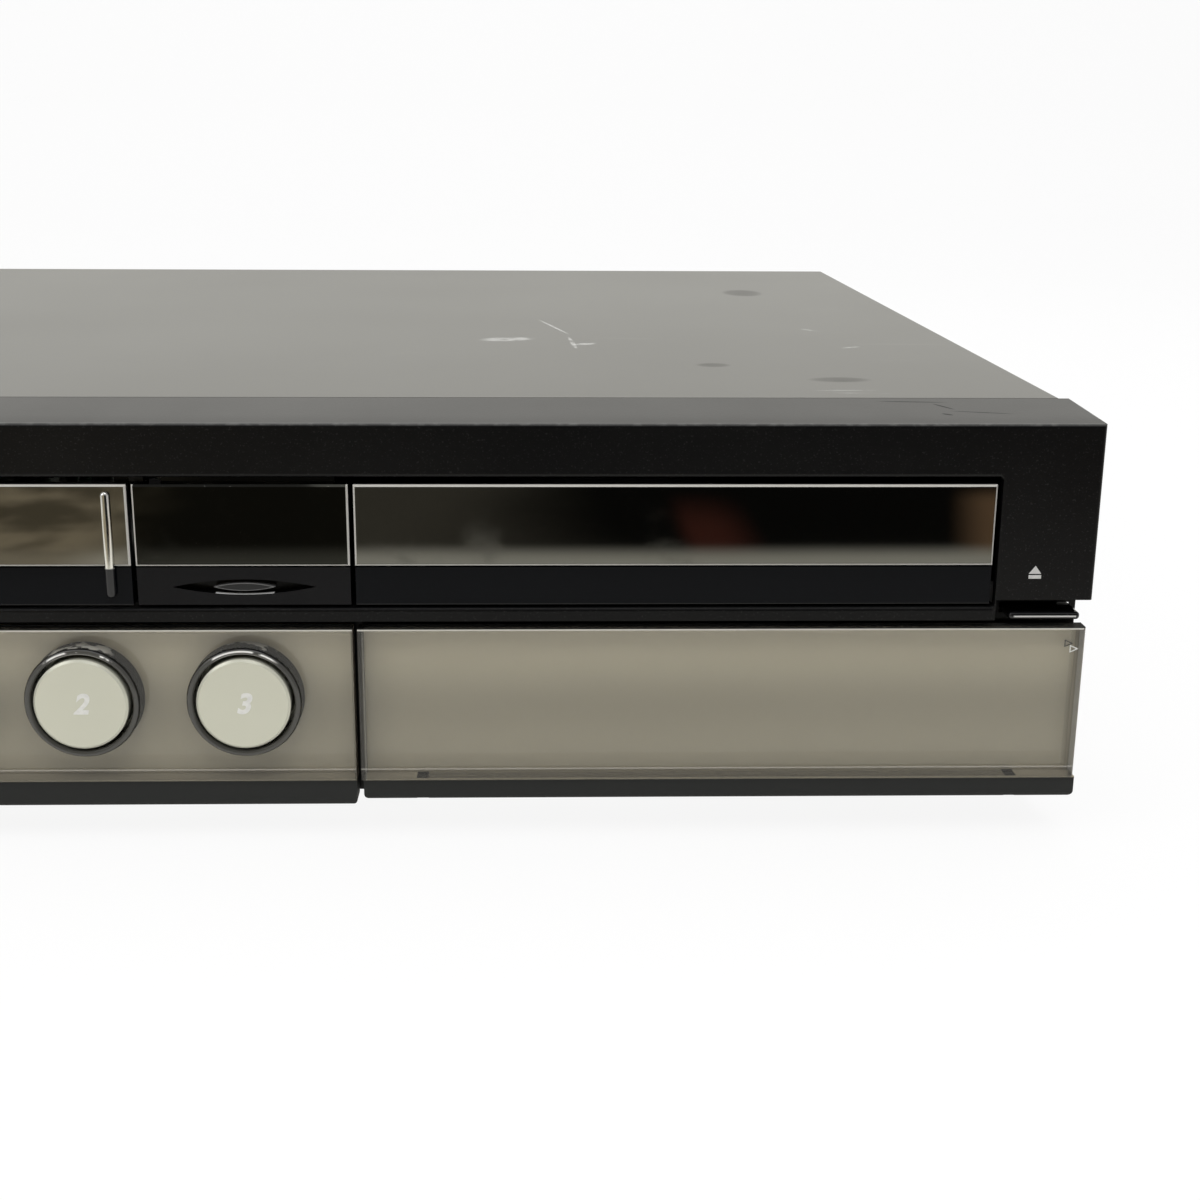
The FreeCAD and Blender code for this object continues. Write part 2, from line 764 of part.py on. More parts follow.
def add_windowed_face(body, left, right, plate_deep, plate_low, plate_top):
    """The dark lower strip of a door and the plate behind its mirror window."""
    plate = sketch_on(body, "XZ", window_back)
    add_rectangle(plate, (left, right), (plate_low, plate_top))
    pad(body, "XZ", plate, plate_deep)
    strip = sketch_on(body, "XZ", front + strip_step)
    add_rectangle(strip, (left, right), (door_low, strip_top))
    pad(body, "XZ", strip, window_thick - strip_step)


def on_front(edge):
    return all_at(edge, "y", front)


def make_window(label, left, right):
    """A mirror plate of smoked acrylic with bevelled edges."""
    body = box_body(label, (left, right), (front, window_back), (window_low, door_top))
    dress(body, "Chamfer", window_bevel, on_front)
    return body


def arc_lens(middle, up, wide, high, y, deep):
    """A lens outline: what two equal wheels share."""
    radius = (wide * wide / 4 + high * high / 4) / high
    low = rod(middle, y, up + high / 2 - radius, radius, deep, "Y")
    top = rod(middle, y, up - high / 2 + radius, radius, deep, "Y")
    return common(low, top)


lamp_middle = (centre_left + centre_right) / 2
lamp_up = strip_top - lamp_drop


def make_centre_panel():
    """The fixed panel between the two doors, with a hollow for the lamp."""
    body = doc.addObject("PartDesign::Body", "centre_face")
    add_windowed_face(body, centre_left, centre_right, tray_carrier_thick, opening_low, door_top)
    window = sketch_on(body, "XZ", front)
    add_rectangle(window, (centre_left, centre_right), (window_low, door_top))
    pad(body, "XZ", window, window_thick)
    dress(body, "Chamfer", window_bevel, on_front)
    tab = block((centre_left + lug_thick * 2, centre_right - lug_thick), (front + wall, window_back + wall),
                (door_top - wall, opening_top + wall))
    hollow = arc_lens(lamp_middle, lamp_up, lamp_hollow_wide, lamp_hollow_high, front, window_thick)
    return named("centre_panel", cut(joined(body, tab), hollow))


def make_indicator_lamp():
    """A small lens-shaped lamp window in the hollow of the centre panel."""
    deep = window_thick - strip_step
    return named("indicator_lamp",
                 arc_lens(lamp_middle, lamp_up, lamp_wide, lamp_high, window_back - deep, deep))


def make_cassette_door():
    """The flap in front of the cassette slot, with a pin at each end of its upper edge."""
    body = new_body("cassette_door")
    top = door_top - door_pin_radius * 2
    add_windowed_face(body, cassette_left, cassette_right, carrier_thick, door_low, top)
    coil_room = door_pin_radius * 3
    for left, pin_left, pin_right in ((cassette_left, cassette_left - play - lug_thick,
                                       cassette_left + lug_thick + coil_room),
                                      (cassette_right - lug_thick, cassette_right - lug_thick,
                                       cassette_right + lug_thick + play)):
        arm = sketch_on(body, "YZ", left)
        add_rectangle(arm, (window_back, door_pivot_y + door_pin_radius),
                      (top - lug_thick, door_pivot_z + door_pin_radius))
        pad(body, "YZ", arm, lug_thick)
        pin = sketch_on(body, "YZ", pin_left)
        add_circle(pin, door_pivot_y, door_pivot_z, door_pin_radius)
        pad(body, "YZ", pin, pin_right - pin_left)
    return body


def make_door_spring():
    """A coil round the left pin that closes the cassette flap."""
    turns = 4
    wire = 0.25
    pitch = 0.72
    coil = Part.makeHelix(pitch, pitch * turns, number(door_pin_radius) + 0.55)
    section = Part.Wire(Part.makeCircle(wire, coil.Vertexes[0].Point, Vector(0, 1, 0)))
    solid = Part.Wire(coil.Edges).makePipeShell([section], True, True)
    solid.rotate(Vector(), Vector(0, 1, 0), 90)
    left = number(cassette_left + lug_thick + play) + wire
    solid.translate(Vector(left, number(door_pivot_y), number(door_pivot_z)))
    return named("door_spring", shaped(solid))


def make_tray_door():
    """The front of the disc tray."""
    body = new_body("tray_door")
    add_windowed_face(body, tray_door_left, tray_door_right, tray_carrier_thick, door_low, door_top)
    return body


def add_lower_bar(body, left, right, low):
    """The round-edged dark bar under a lower panel."""
    profile = sketch_on(body, "YZ", left)
    face = front + strip_step
    add_rectangle(profile, (face, face + bar_deep), (low, lens_low))
    pad(body, "YZ", profile, right - left)
    dress(body, "Fillet", bar_round, lambda edge: all_at(edge, "z", low) and (
        all_at(edge, "y", face) or all_at(edge, "x", left) or all_at(edge, "x", right)))


def add_backing(body, left, right, low, deep):
    plate = sketch_on(body, "XZ", panel_front)
    add_rectangle(plate, (left, right), (low, lens_top - plate_inset))
    pad(body, "XZ", plate, deep)


def make_display_panel():
    """The fixed panel behind the left acrylic plate, with its bar below."""
    body = new_body("display_panel")
    left = plate_inset - lens_side
    right = divider_place - divider_half - plate_inset
    add_lower_bar(body, -lens_side - bar_reach, right + plate_inset, panel_bar_low)
    add_backing(body, left, right, lens_low - wall / 2, lower_wall_front - panel_front)
    holes = sketch_on(body, "XZ", lens_back - 1)
    for place in button_places:
        add_circle(holes, place, button_up, ring_outer)
    add_circle(holes, -power_place, button_up, power_radius + play)
    add_display_window(holes, play)
    pocket(body, "XZ", holes, lower_wall_front - lens_back + 2)
    return body


def make_lens(label, left, right):
    body = box_body(label, (left, right), (front, lens_back), (lens_low, lens_top))
    outer = right if number(right) > number(divider_place) else left
    dress(body, "Fillet", lens_round, lambda edge: on_front(edge) and all_at(edge, "x", outer))
    return body


def make_display_lens():
    """The clear acrylic plate of the left lower panel, holed for its buttons."""
    body = make_lens("display_lens", -lens_side, divider_place - divider_half)
    holes = sketch_on(body, "XZ", front - 1)
    for place in button_places:
        add_circle(holes, place, button_up, ring_outer + shaft_play)
    add_circle(holes, -power_place, button_up, power_radius + play)
    pocket(body, "XZ", holes, lens_thick + 2)
    return body


def make_lower_door():
    """The carrier of the flip-down door, with a pin in each hinge slot of its bar."""
    body = new_body("lower_door")
    left = divider_place + divider_half + plate_inset / 2
    right = lens_side - plate_inset / 2
    add_lower_bar(body, left, lens_side + bar_reach, door_bar_low)
    add_backing(body, left, right, lens_low - wall / 2, plate_thick)
    slot_half = hinge_lug_wide / 2 + play
    slots = sketch_on(body, "XZ", front + hinge_in - hinge_lug_radius - play)
    for place in hinge_places:
        add_rectangle(slots, (place - slot_half, place + slot_half),
                      (door_bar_low - 1, hinge_up + hinge_lug_radius + play))
    pocket(body, "XZ", slots, plate_back - front)
    pin_reach = slot_half + play
    for place in hinge_places:
        pin = sketch_on(body, "YZ", place - pin_reach)
        add_circle(pin, front + hinge_in, hinge_up, hinge_pin_radius)
        pad(body, "YZ", pin, pin_reach * 2)
    return body


def make_lower_door_lens():
    """The clear acrylic plate of the flip-down door."""
    return make_lens("lower_door_lens", divider_place + divider_half, lens_side)


def make_button_rings():
    """Clear collars that stand out round the three round buttons."""
    rings = []
    start = front - ring_proud
    edge = ring_thick / 3
    for place in button_places:
        outside = joined(cone(place, start, button_up, ring_outer - edge, ring_outer, edge, "Y"),
                         rod(place, start + edge, button_up, ring_outer, lens_back - start - edge, "Y"))
        inside = joined(rod(place, start, button_up, ring_inner, lens_back - start, "Y"),
                        cone(place, start, button_up, ring_inner + edge, ring_inner, edge, "Y"))
        rings.append(cut(outside, inside))
    return named("button_rings", group(*rings))


switch_front = board_front - switch_wide * 0.7
stem_end = switch_front - button_travel - play


def make_round_button(label, place, radius):
    """A pressed cap, its flange behind the wall, and the stem that meets the switch."""
    start = front - front_proud
    head = cone(place, start, button_up, radius - cap_bevel, radius, cap_bevel, "Y")
    flange_at = lower_wall_back + play
    sleeve = rod(place, start + cap_bevel, button_up, radius, flange_at - start - cap_bevel, "Y")
    flange = rod(place, flange_at, button_up, radius + ring_hole + flange_wide, flange_thick, "Y")
    stem = rod(place, flange_at, button_up, screw_shank, stem_end - flange_at, "Y")
    return named(label, joined(head, sleeve, flange, stem))


def make_side_button(label, left):
    """A bar-shaped button in the notch under the end of the bezel."""
    body = new_body(label)
    face = front + strip_step
    right = left + side_button_wide
    sketch = sketch_on(body, "XZ", face)
    add_rectangle(sketch, (left, right), (side_button_low, side_button_top))
    pad(body, "XZ", sketch, lower_wall_back + play - face)
    dress(body, "Fillet", side_button_high * 0.45, lambda edge: all_at(edge, "y", face)
          or (all_at(edge, "x", left) or all_at(edge, "x", right))
          and (all_at(edge, "z", side_button_low) or all_at(edge, "z", side_button_top)))
    flange = sketch_on(body, "XZ", lower_wall_back + play)
    add_rectangle(flange, (left + 1, right - wall),
                  (side_button_low - flange_wide, side_button_top + flange_wide))
    pad(body, "XZ", flange, flange_thick)
    stem = sketch_on(body, "XZ", lower_wall_back + play)
    middle = left + side_button_wide / 2
    add_rectangle(stem, (middle - screw_shank, middle + screw_shank), (side_button_low, side_button_top))
    pad(body, "XZ", stem, stem_end - lower_wall_back - play)
    return body


small_cap_places = [jack_bay_right - small_cap_wide * share for share in (3.6, 1.8)]
small_cap_up = jack_bay_low + jack_bay_high / 2
jack_places = [jack_bay_left + jack_pitch * share for share in (1, 2, 3)]
video_jack_place = jack_bay_left + jack_pitch * 4.4


def make_small_button(label, middle):
    """A small key behind the flip-down door."""
    start = jack_bay_floor - wall
    flange_at = jack_bay_floor + wall + play
    up = (small_cap_up - small_cap_high / 2, small_cap_up + small_cap_high / 2)
    cap = wide_block(middle, small_cap_wide, (start, flange_at), up)
    flange = wide_block(middle, small_cap_wide + flange_wide, (flange_at, flange_at + flange_thick),
                        (up[0] - flange_wide, up[1] + flange_wide))
    stem_start = flange_at + flange_thick
    # The stem stops one press and a little play before its switch.
    stem = rod(middle, stem_start, small_cap_up, screw_shank,
               small_switch_front - button_travel - play - stem_start, "Y")
    return named(label, joined(cap, flange, stem))


small_switch_front = board_front - board_thick


def make_front_board():
    """The circuit board behind the front, with a switch behind each button."""
    reach = half_wide - wall * 4
    board = block((-reach, reach), (board_front, board_back), (floor_top, opening_low - play))
    switches = []
    places = [(place, button_up) for place in button_places + [-power_place]]
    middle = side_button_left + side_button_wide / 2
    places += [(middle, side_button_low + side_button_high / 2),
               (-middle, side_button_low + side_button_high / 2)]
    for x, z in places:
        low = z - switch_wide / 2
        high = z + switch_wide / 2 if number(z) < number(lens_top) else opening_low - play
        switches.append(wide_block(x, switch_wide, (switch_front + 1, board_front), (low, high)))
        switches.append(rod(x, switch_front, z, screw_shank, 2, "Y"))
    for x in small_cap_places:
        switches.append(wide_block(x, switch_wide, (small_switch_front, board_front),
                                   (small_cap_up - switch_wide / 2, small_cap_up + switch_wide / 2)))
    chips = [wide_block(-half_wide * 0.2 - chip_wide * 1.7 * n, chip_wide, (board_back, board_back + wall),
                        (foot_high * 2, foot_high * 3))
             for n in range(3)]
    return named("front_board", joined(board, *switches, *chips))


def make_display_tube():
    """The glass display behind its window in the left panel."""
    body = box_body("display_tube", (display_left, display_left + display_wide),
                    (board_front - display_deep, board_front), (display_low, display_low + display_high))
    return body


def make_jack_plate():
    """The shallow bay behind the flip-down door."""
    edge = wall
    outer = block((jack_bay_left - edge, jack_bay_right + edge), (lower_wall_back, jack_bay_floor + wall),
                  (jack_bay_low - edge, jack_bay_top + edge))
    hollow = block((jack_bay_left, jack_bay_right), (lower_wall_back - 1, jack_bay_floor),
                   (jack_bay_low, jack_bay_top))
    deep = wall + 2
    tools = [rod(x, jack_bay_floor - 1, small_cap_up, jack_radius + play, deep, "Y") for x in jack_places]
    tools.append(rod(video_jack_place, jack_bay_floor - 1, small_cap_up, jack_radius * 1.6 + play, deep, "Y"))
    for x in small_cap_places:
        tools.append(wide_block(x, small_cap_wide + play * 2, (jack_bay_floor - 1, jack_bay_floor + wall + 1),
                                (small_cap_up - small_cap_high / 2 - play,
                                 small_cap_up + small_cap_high / 2 + play)))
    return named("jack_plate", cut(outer, hollow, *tools))


def make_front_jacks():
    """Three phono sockets and a round video socket on the front board."""
    jacks = []
    start = lower_wall_front + play
    for x in jack_places:
        collar = rod(x, start, small_cap_up, jack_radius, board_front - start, "Y")
        flange = rod(x, jack_bay_floor + wall, small_cap_up, jack_radius * 1.4,
                     board_front - jack_bay_floor - wall, "Y")
        jacks.append(cut(joined(collar, flange),
                         rod(x, start - 1, small_cap_up, jack_bore, jack_pitch * 0.6, "Y")))
    start = jack_bay_floor - wall
    body = rod(video_jack_place, start, small_cap_up, jack_radius * 1.6, board_front - start, "Y")
    hollow = cut(rod(video_jack_place, start - 1, small_cap_up, jack_radius * 1.1, wall * 2, "Y"),
                 wide_block(video_jack_place, 2, (start - 2, board_front),
                            (jack_bay_low, small_cap_up - wall)))
    jacks.append(cut(body, hollow))
    return named("front_jacks", group(*jacks))


def make_feet():
    """Four round feet under the floor."""
    feet = []
    edge = cover_thick
    for x, y in foot_places:
        feet.append(joined(cone(x, y, 0, foot_radius - edge, foot_radius, edge),
                           rod(x, y, edge, foot_radius, foot_high - edge)))
    return named("feet", group(*feet))


def screw(x, y, z, along, side):
    """A pan-head screw whose head rests on the face at the given place."""
    reach = screw_head * 2.4
    if along == "X":
        head_at = x if side > 0 else x - screw_head
        shank_at = x - reach if side > 0 else x
        return joined(rod(head_at, y, z, screw_radius, screw_head, along),
                      rod(shank_at, y, z, screw_shank, reach, along))
    return joined(rod(x, y, z, screw_radius, screw_head, along),
                  rod(x, y - reach, z, screw_shank, reach, along))


def make_case_screws():
    """The screws of the cover and of the rear panel."""
    screws = []
    for side in (-1, 1):
        screws += [screw(cover_half * side, y, side_screw_up, "X", side) for y in side_screw_places]
    screws += [screw(x, back, z, "Y", 1) for x, z in top_screw_places]
    screws += [screw(x, panel_out, z, "Y", 1) for x, z in low_screw_places]
    return named("case_screws", group(*screws))


def make_av_sockets():
    """Three columns of phono sockets on the main board."""
    columns = []
    end = back + rear_proud
    for x in rear_jack_columns:
        housing = wide_block(x, jack_pitch * 0.8, (panel_in - jack_pitch, panel_in),
                             (boards_top, rear_jack_rows[2] + jack_radius * 2))
        sleeves = [rod(x, panel_in, z, jack_radius, end - panel_in, "Y") for z in rear_jack_rows]
        bores = [rod(x, end - jack_pitch * 0.6, z, jack_bore, jack_pitch, "Y") for z in rear_jack_rows]
        columns.append(cut(joined(housing, *sleeves), *bores))
    return named("av_sockets", group(*columns))


def make_aerial_block():
    """The screened tuner with its two aerial sockets."""
    end = back + rear_proud - 1
    tuner = wide_block(aerial_middle, aerial_radius * 3, (panel_in - foot_inset, panel_in),
                       (boards_top, aerial_rows[1] + jack_radius * 2))
    sleeves = [rod(aerial_middle, panel_in, z, aerial_radius, end - panel_in, "Y") for z in aerial_rows]
    bores = [rod(aerial_middle, end - jack_pitch * 0.5, z, jack_bore * 0.6, jack_pitch, "Y")
             for z in aerial_rows]
    return named("aerial_block", cut(joined(tuner, *sleeves), *bores))


def make_digital_sockets():
    """A wide digital video socket and a network socket."""
    deep = jack_pitch * 0.8
    shell = wide_block(hdmi_middle, jack_pitch - 2, (panel_in - deep, panel_out + play),
                       (boards_top, boards_top + 6.6))
    mouth = wide_block(hdmi_middle, jack_pitch - 3, (panel_in - deep + 2, back + 1),
                       (boards_top + 1, boards_top + 5.6))
    tongue = wide_block(hdmi_middle, jack_pitch - 6, (panel_in - deep, panel_in),
                        (boards_top + 4.7, boards_top + 6))
    video = joined(cut(shell, mouth), tongue)
    high = jack_pitch * 0.8
    box = wide_block(network_middle, jack_pitch - 1, (panel_in - deep, panel_out + play),
                     (boards_top, boards_top + high))
    hole = wide_block(network_middle, jack_pitch * 0.7, (panel_in - deep + 2, back + 1),
                      (boards_top + 3, boards_top + high - 3))
    key = wide_block(network_middle, jack_pitch * 0.35, (panel_in - deep + 2, back + 1),
                     (boards_top + 1, boards_top + 4))
    return named("digital_sockets", group(video, cut(box, hole, key)))


def make_mains_inlet():
    """A two-pin inlet on the power board."""
    wide = inlet_high * 1.5 - 1
    up = boards_top + inlet_high / 2
    start = panel_in - inlet_high
    body = wide_block(inlet_middle, wide, (start, panel_out + play),
                      (boards_top, boards_top + inlet_high - play))
    lobe = inlet_high * 0.27
    mouth = joined(*[rod(inlet_middle + side * lobe * 0.9, start + 3, up, lobe, inlet_high * 1.5, "Y")
                     for side in (-1, 1)])
    pins = [rod(inlet_middle + side * lobe * 0.9, start, up, lobe * 0.25, inlet_high * 0.8, "Y")
            for side in (-1, 1)]
    return named("mains_inlet", joined(cut(body, mouth), *pins))


def make_fan_frame():
    """The square frame of the fan, with the spider that holds its bearing."""
    start = panel_in - fan_deep
    outer = block((fan_middle - fan_wide / 2, fan_middle + fan_wide / 2), (start, panel_in),
                  (fan_low, fan_low + fan_wide))
    hole = rod(fan_middle, start - 1, fan_up, fan_wide / 2 - wall, fan_deep + 2, "Y")
    spider = rod(fan_middle, start, fan_up, fan_hub, wall, "Y")
    arms = [wide_block(fan_middle, wall, (start, start + wall), (fan_low, fan_up)),
            block((fan_middle - fan_wide / 2, fan_middle), (start, start + wall), (fan_up, fan_up + wall)),
            block((fan_middle, fan_middle + fan_wide / 2), (start, start + wall), (fan_up, fan_up + wall))]
    bearing = rod(fan_middle, start, fan_up, rod_radius * 2.5, fan_deep * 0.6, "Y")
    bore = rod(fan_middle, start - 1, fan_up, rod_radius + shaft_play, fan_deep, "Y")
    return named("fan_frame", cut(joined(cut(outer, hole), spider, *arms, bearing), bore))


def make_fan_rotor():
    """The hub, shaft and blades of the fan."""
    start = panel_in - fan_deep
    hub_start = start + wall + play * 2
    hub_end = panel_in - wall
    hub = cut(rod(fan_middle, hub_start, fan_up, fan_hub, hub_end - hub_start, "Y"),
              rod(fan_middle, hub_start - 1, fan_up, fan_hub - wall, hub_end - hub_start - wall + 1, "Y"))
    shaft = rod(fan_middle, start + play, fan_up, rod_radius, hub_end - start - play - 1, "Y")
    blades = []
    reach = number(fan_wide / 2 - wall - 1.2)
    root = number(fan_hub) - 0.6
    for n in range(fan_blades):
        blade = Part.makeBox(reach - root, 7, 0.9, Vector(root, -3.5, -0.45))
        blade.rotate(Vector(), Vector(1, 0, 0), 38)
        blade.rotate(Vector(), Vector(0, 1, 0), 360 / fan_blades * n)
        blade.translate(Vector(number(fan_middle), number((hub_start + hub_end) / 2), number(fan_up)))
        blades.append(shaped(blade))
    return named("fan_rotor", joined(hub, shaft, *blades))


def make_main_board():
    """The main circuit board, an L with a wing under the sockets, and its large parts."""
    rear = panel_in - floor_thick
    main = block((main_left, main_right), (main_front, rear), (boards_low, boards_top))
    wing = block((wing_left, main_left), (wing_front, rear), (boards_low, boards_top))
    chip_front = main_front + chip_wide * 2.7
    parts = [wide_block(main_left + chip_wide * (1.3 + n * 1.6), chip_wide,
                        (chip_front, chip_front + chip_wide),
                        (boards_top, boards_top + wall)) for n in range(4)]
    sink_middle = main_left + sink_wide * 1.1
    sink_front = main_front + sink_wide * 2.6
    parts.append(wide_block(sink_middle, sink_wide, (sink_front, sink_front + sink_wide),
                            (boards_top, boards_top + wall)))
    for n in range(7):
        fin = sink_front + wall + sink_wide * n / 7
        parts.append(wide_block(sink_middle, sink_wide - wall * 2, (fin, fin + steel_thick),
                                (boards_top + wall / 2, boards_top + sink_high)))
    parts += [rod(main_right - capacitor_radius * (2.5 + n * 3), main_front + capacitor_radius * 5,
                  boards_top,
                  capacitor_radius, capacitor_radius * 2.75) for n in range(5)]
    parts += [rod(wing_left + capacitor_radius * (3 + n * 2.75), wing_front + capacitor_radius * 3.5,
                  boards_top,
                  capacitor_radius * 0.8, capacitor_radius * 2.25) for n in range(6)]
    holes = [rod(x, y, floor_top, post_radius + play, boards_top) for x, y in disk_feet()]
    return named("main_board", joined(cut(joined(main, wing), *holes), *parts))


def make_power_board():
    """The power supply: its board, transformer, reservoir and cooling plates."""
    rear = panel_in - floor_thick
    board = block((power_left, power_right), (power_front, rear), (boards_low, boards_top))
    core_left = power_left + reservoir_radius * 3.5
    core_right = core_left + transformer_wide
    core_front = power_front + reservoir_radius * 1.1
    coil = transformer_wide / 6
    cool_left = power_left + reservoir_radius * 8
    # The mains filter stays clear of the inlet behind it.
    filter_back = panel_in - inlet_high - reservoir_radius * 1.1
    parts = [block((core_left, core_right), (core_front, core_front + transformer_wide * 0.9),
                   (boards_top, boards_top + transformer_wide * 0.83)),
             block((core_left - coil, core_right + coil), (core_front + coil, core_front + coil * 4.3),
                   (boards_top + coil, boards_top + coil * 4)),
             rod(power_left + reservoir_radius * 1.8, power_front + reservoir_radius * 2.1, boards_top,
                 reservoir_radius, reservoir_radius * 2.7),
             block((cool_left, cool_left + lug_thick),
                   (power_front + reservoir_radius, power_front + reservoir_radius * 4.8),
                   (boards_top, boards_top + reservoir_radius * 2.2)),
             block((power_left + reservoir_radius * 0.6, power_left + reservoir_radius * 2.7),
                   (filter_back - reservoir_radius * 1.3, filter_back),
                   (boards_top, boards_top + reservoir_radius * 1.4))]
    parts += [rod(cool_left + reservoir_radius * 1.6, power_front + reservoir_radius * (1.1 + n * 1.2),
                  boards_top,
                  capacitor_radius * 1.25, reservoir_radius * 1.6) for n in range(4)]
    return named("power_board", joined(board, *parts))


def make_hard_disk():
    """A sealed hard disk on four posts, seen as its case, its lid and its board."""
    x = (disk_left, disk_left + disk_wide)
    y = (disk_front, disk_back)
    edge = cover_thick * 4
    case = block(x, y, (disk_low + board_thick, disk_low + disk_high - floor_thick))
    lid = block((x[0] + edge, x[1] - edge), (y[0] + edge, y[1] - edge),
                (disk_low + disk_high - floor_thick, disk_low + disk_high))
    under = block((x[0], x[1] - foot_inset / 2), y, (disk_low, disk_low + board_thick))
    return named("hard_disk", joined(case, lid, under))


holder_in = cassette_wide / 2 + play * 2
holder_out = holder_in + steel_thick
carriage_in = holder_out + play
carriage_out = carriage_in + steel_thick
deck_in = carriage_out + play
deck_out = deck_in + steel_thick
deck_low = floor_top + deck_lift
deck_top = deck_low + deck_thick
deck_front = front + holder_front - wall
deck_back = deck_front + deck_deep
holder_low = opening_low - steel_thick
holder_high = opening_low + cassette_high + play
holder_y = front + holder_front
holder_end = holder_y + holder_deep
runner_up = deck_top + deck_wall_high - runner_radius * 3
runner_places = [holder_y + holder_deep / 2 + side * holder_deep / 4 for side in (-1, 1)]
holder_pin_up = holder_high - runner_radius * 4
holder_pin_y = holder_y + holder_deep / 2
drum_y = front + drum_from_front
reel_y = front + reel_from_front
capstan_x = deck_middle + capstan_aside
capstan_y = front + capstan_from_front
roller_y = capstan_y - capstan_radius - roller_radius - roller_gap
arm_pivot_x = capstan_x + arm_long
reel_low = deck_top + steel_thick
arm_low = deck_top + foot_high
slot_play = play


def side_plates(inner, outer, y, z):
    return [block((deck_middle - outer, deck_middle - inner), y, z),
            block((deck_middle + inner, deck_middle + outer), y, z)]


def make_deck_plate():
    """The folded steel deck, its runner slots, and the posts that its wheels turn on."""
    plate = block((deck_middle - deck_out, deck_middle + deck_out), (deck_front, deck_back),
                  (deck_low, deck_top))
    wall_top = deck_top + deck_wall_high
    wall_end = runner_places[1] + holder_travel + runner_radius * 4
    walls = side_plates(deck_in, deck_out, (deck_front + wall, wall_end), (deck_low, wall_top))
    slot = (runner_up - runner_radius - slot_play, runner_up + runner_radius + slot_play)
    slot_y = (runner_places[0] - runner_radius - slot_play,
              runner_places[1] + holder_travel + runner_radius + slot_play)
    slots = side_plates(deck_in - 1, deck_out + 1, slot_y, slot)
    posts = []
    for side in (-1, 1):
        x = deck_middle + side * reel_spacing / 2
        posts += [rod(x, reel_y, deck_low, capstan_radius * 2, reel_low - play - deck_low),
                  rod(x, reel_y, deck_low, capstan_radius, reel_low + foot_high + wall - deck_low)]
    posts += [rod(arm_pivot_x, roller_y, deck_low, capstan_radius * 2, arm_low - play - deck_low),
              rod(arm_pivot_x, roller_y, deck_low, capstan_radius, arm_low + wall * 2 - deck_low),
              rod(capstan_x, capstan_y, deck_low, capstan_radius * 3, foot_high + deck_thick)]
    for side in (-1, 1):
        for out, y in ((drum_radius + foot_high, drum_y), (drum_radius * 1.9, drum_y - drum_radius * 0.8)):
            posts.append(rod(deck_middle + side * out, y, deck_low, runner_radius * 1.4,
                             drum_half_high * 1.6))
    bore = rod(capstan_x, capstan_y, deck_low - 1, capstan_radius + shaft_play, foot_high + deck_thick + 2)
    return named("deck_plate", cut(joined(plate, *walls, *posts), *slots, bore))


def make_holder_carriage():
    """The frame that carries the cassette holder to the back, on four runner pins."""
    y = (holder_y + steel_thick * 4, holder_end - steel_thick * 4)
    bridge_low = holder_high + steel_thick + play
    bridge = block((deck_middle - carriage_out, deck_middle + carriage_out),
                   (holder_pin_y - foot_high, holder_pin_y + foot_high),
                   (bridge_low, bridge_low + steel_thick))
    plates = side_plates(carriage_in, carriage_out, y, (deck_top + foot_high, bridge_low + steel_thick))
    slot_half = runner_radius + slot_play
    slots = side_plates(carriage_in - 1, carriage_out + 1,
                        (holder_pin_y - slot_half, holder_pin_y + slot_half),
                        (holder_pin_up - holder_drop - slot_half, holder_pin_up + slot_half))
    pins = []
    reach = deck_in + steel_thick
    for place in runner_places:
        for side in (-1, 1):
            left = deck_middle - reach if side < 0 else deck_middle + carriage_in
            pins.append(rod(left, place, runner_up, runner_radius, reach - carriage_in, "X"))
    return named("holder_carriage", joined(cut(joined(bridge, *plates), *slots), *pins))


def make_cassette_holder():
    """The open cage that a cassette slides into, with a pin each side in the carriage."""
    y = (holder_y, holder_end)
    roof = block((deck_middle - holder_out, deck_middle + holder_out), y,
                 (holder_high, holder_high + steel_thick))
    sides = side_plates(holder_in, holder_out, y, (holder_low, holder_high + steel_thick))
    lips = side_plates(holder_in - holder_lip, holder_out, y, (holder_low, opening_low))
    stops = side_plates(holder_in - holder_lip * 2, holder_in, (holder_end - steel_thick, holder_end),
                        (holder_high - foot_high, holder_high))
    pins = [rod(deck_middle - holder_out - play - steel_thick, holder_pin_y, holder_pin_up, runner_radius,
                play + steel_thick * 2, "X"),
            rod(deck_middle + holder_in, holder_pin_y, holder_pin_up, runner_radius, play + steel_thick * 2,
                "X")]
    windows = [wide_block(deck_middle + side * cassette_wide / 4, cassette_wide / 3,
                          (holder_y + holder_lip / 2, holder_end - holder_lip / 2),
                          (holder_high - 1, holder_high + steel_thick + 1)) for side in (-1, 1)]
    return named("cassette_holder", joined(cut(joined(roof, *sides, *lips), *windows), *stops, *pins))


def leaning_rod(along, radius, length):
    """A round bar on the drum's axis, which leans towards the back."""
    thing = doc.addObject("Part::Cylinder", "leaning_rod")
    thing.Placement = FreeCAD.Placement(Vector(), Rotation(Vector(-1, 0, 0), number(drum_lean)))
    bind(thing, ".Placement.Rotation.Angle", drum_lean)
    bind(thing, "Radius", radius)
    bind(thing, "Height", length)
    return placed(thing, deck_middle, drum_y + along * sine(drum_lean), deck_top + along * cosine(drum_lean))


drum_start = drum_radius * sine(drum_lean) + play
drum_split = drum_start + drum_half_high


def make_drum_base():
    """The fixed lower half of the head drum on its foot."""
    lower = leaning_rod(drum_start, drum_radius, drum_half_high)
    foot = rod(deck_middle, drum_y, deck_top, drum_radius * 0.6, drum_start * 2)
    bore = leaning_rod(drum_start, capstan_radius + shaft_play, drum_half_high * 2)
    return named("drum_base", cut(joined(lower, foot), bore))


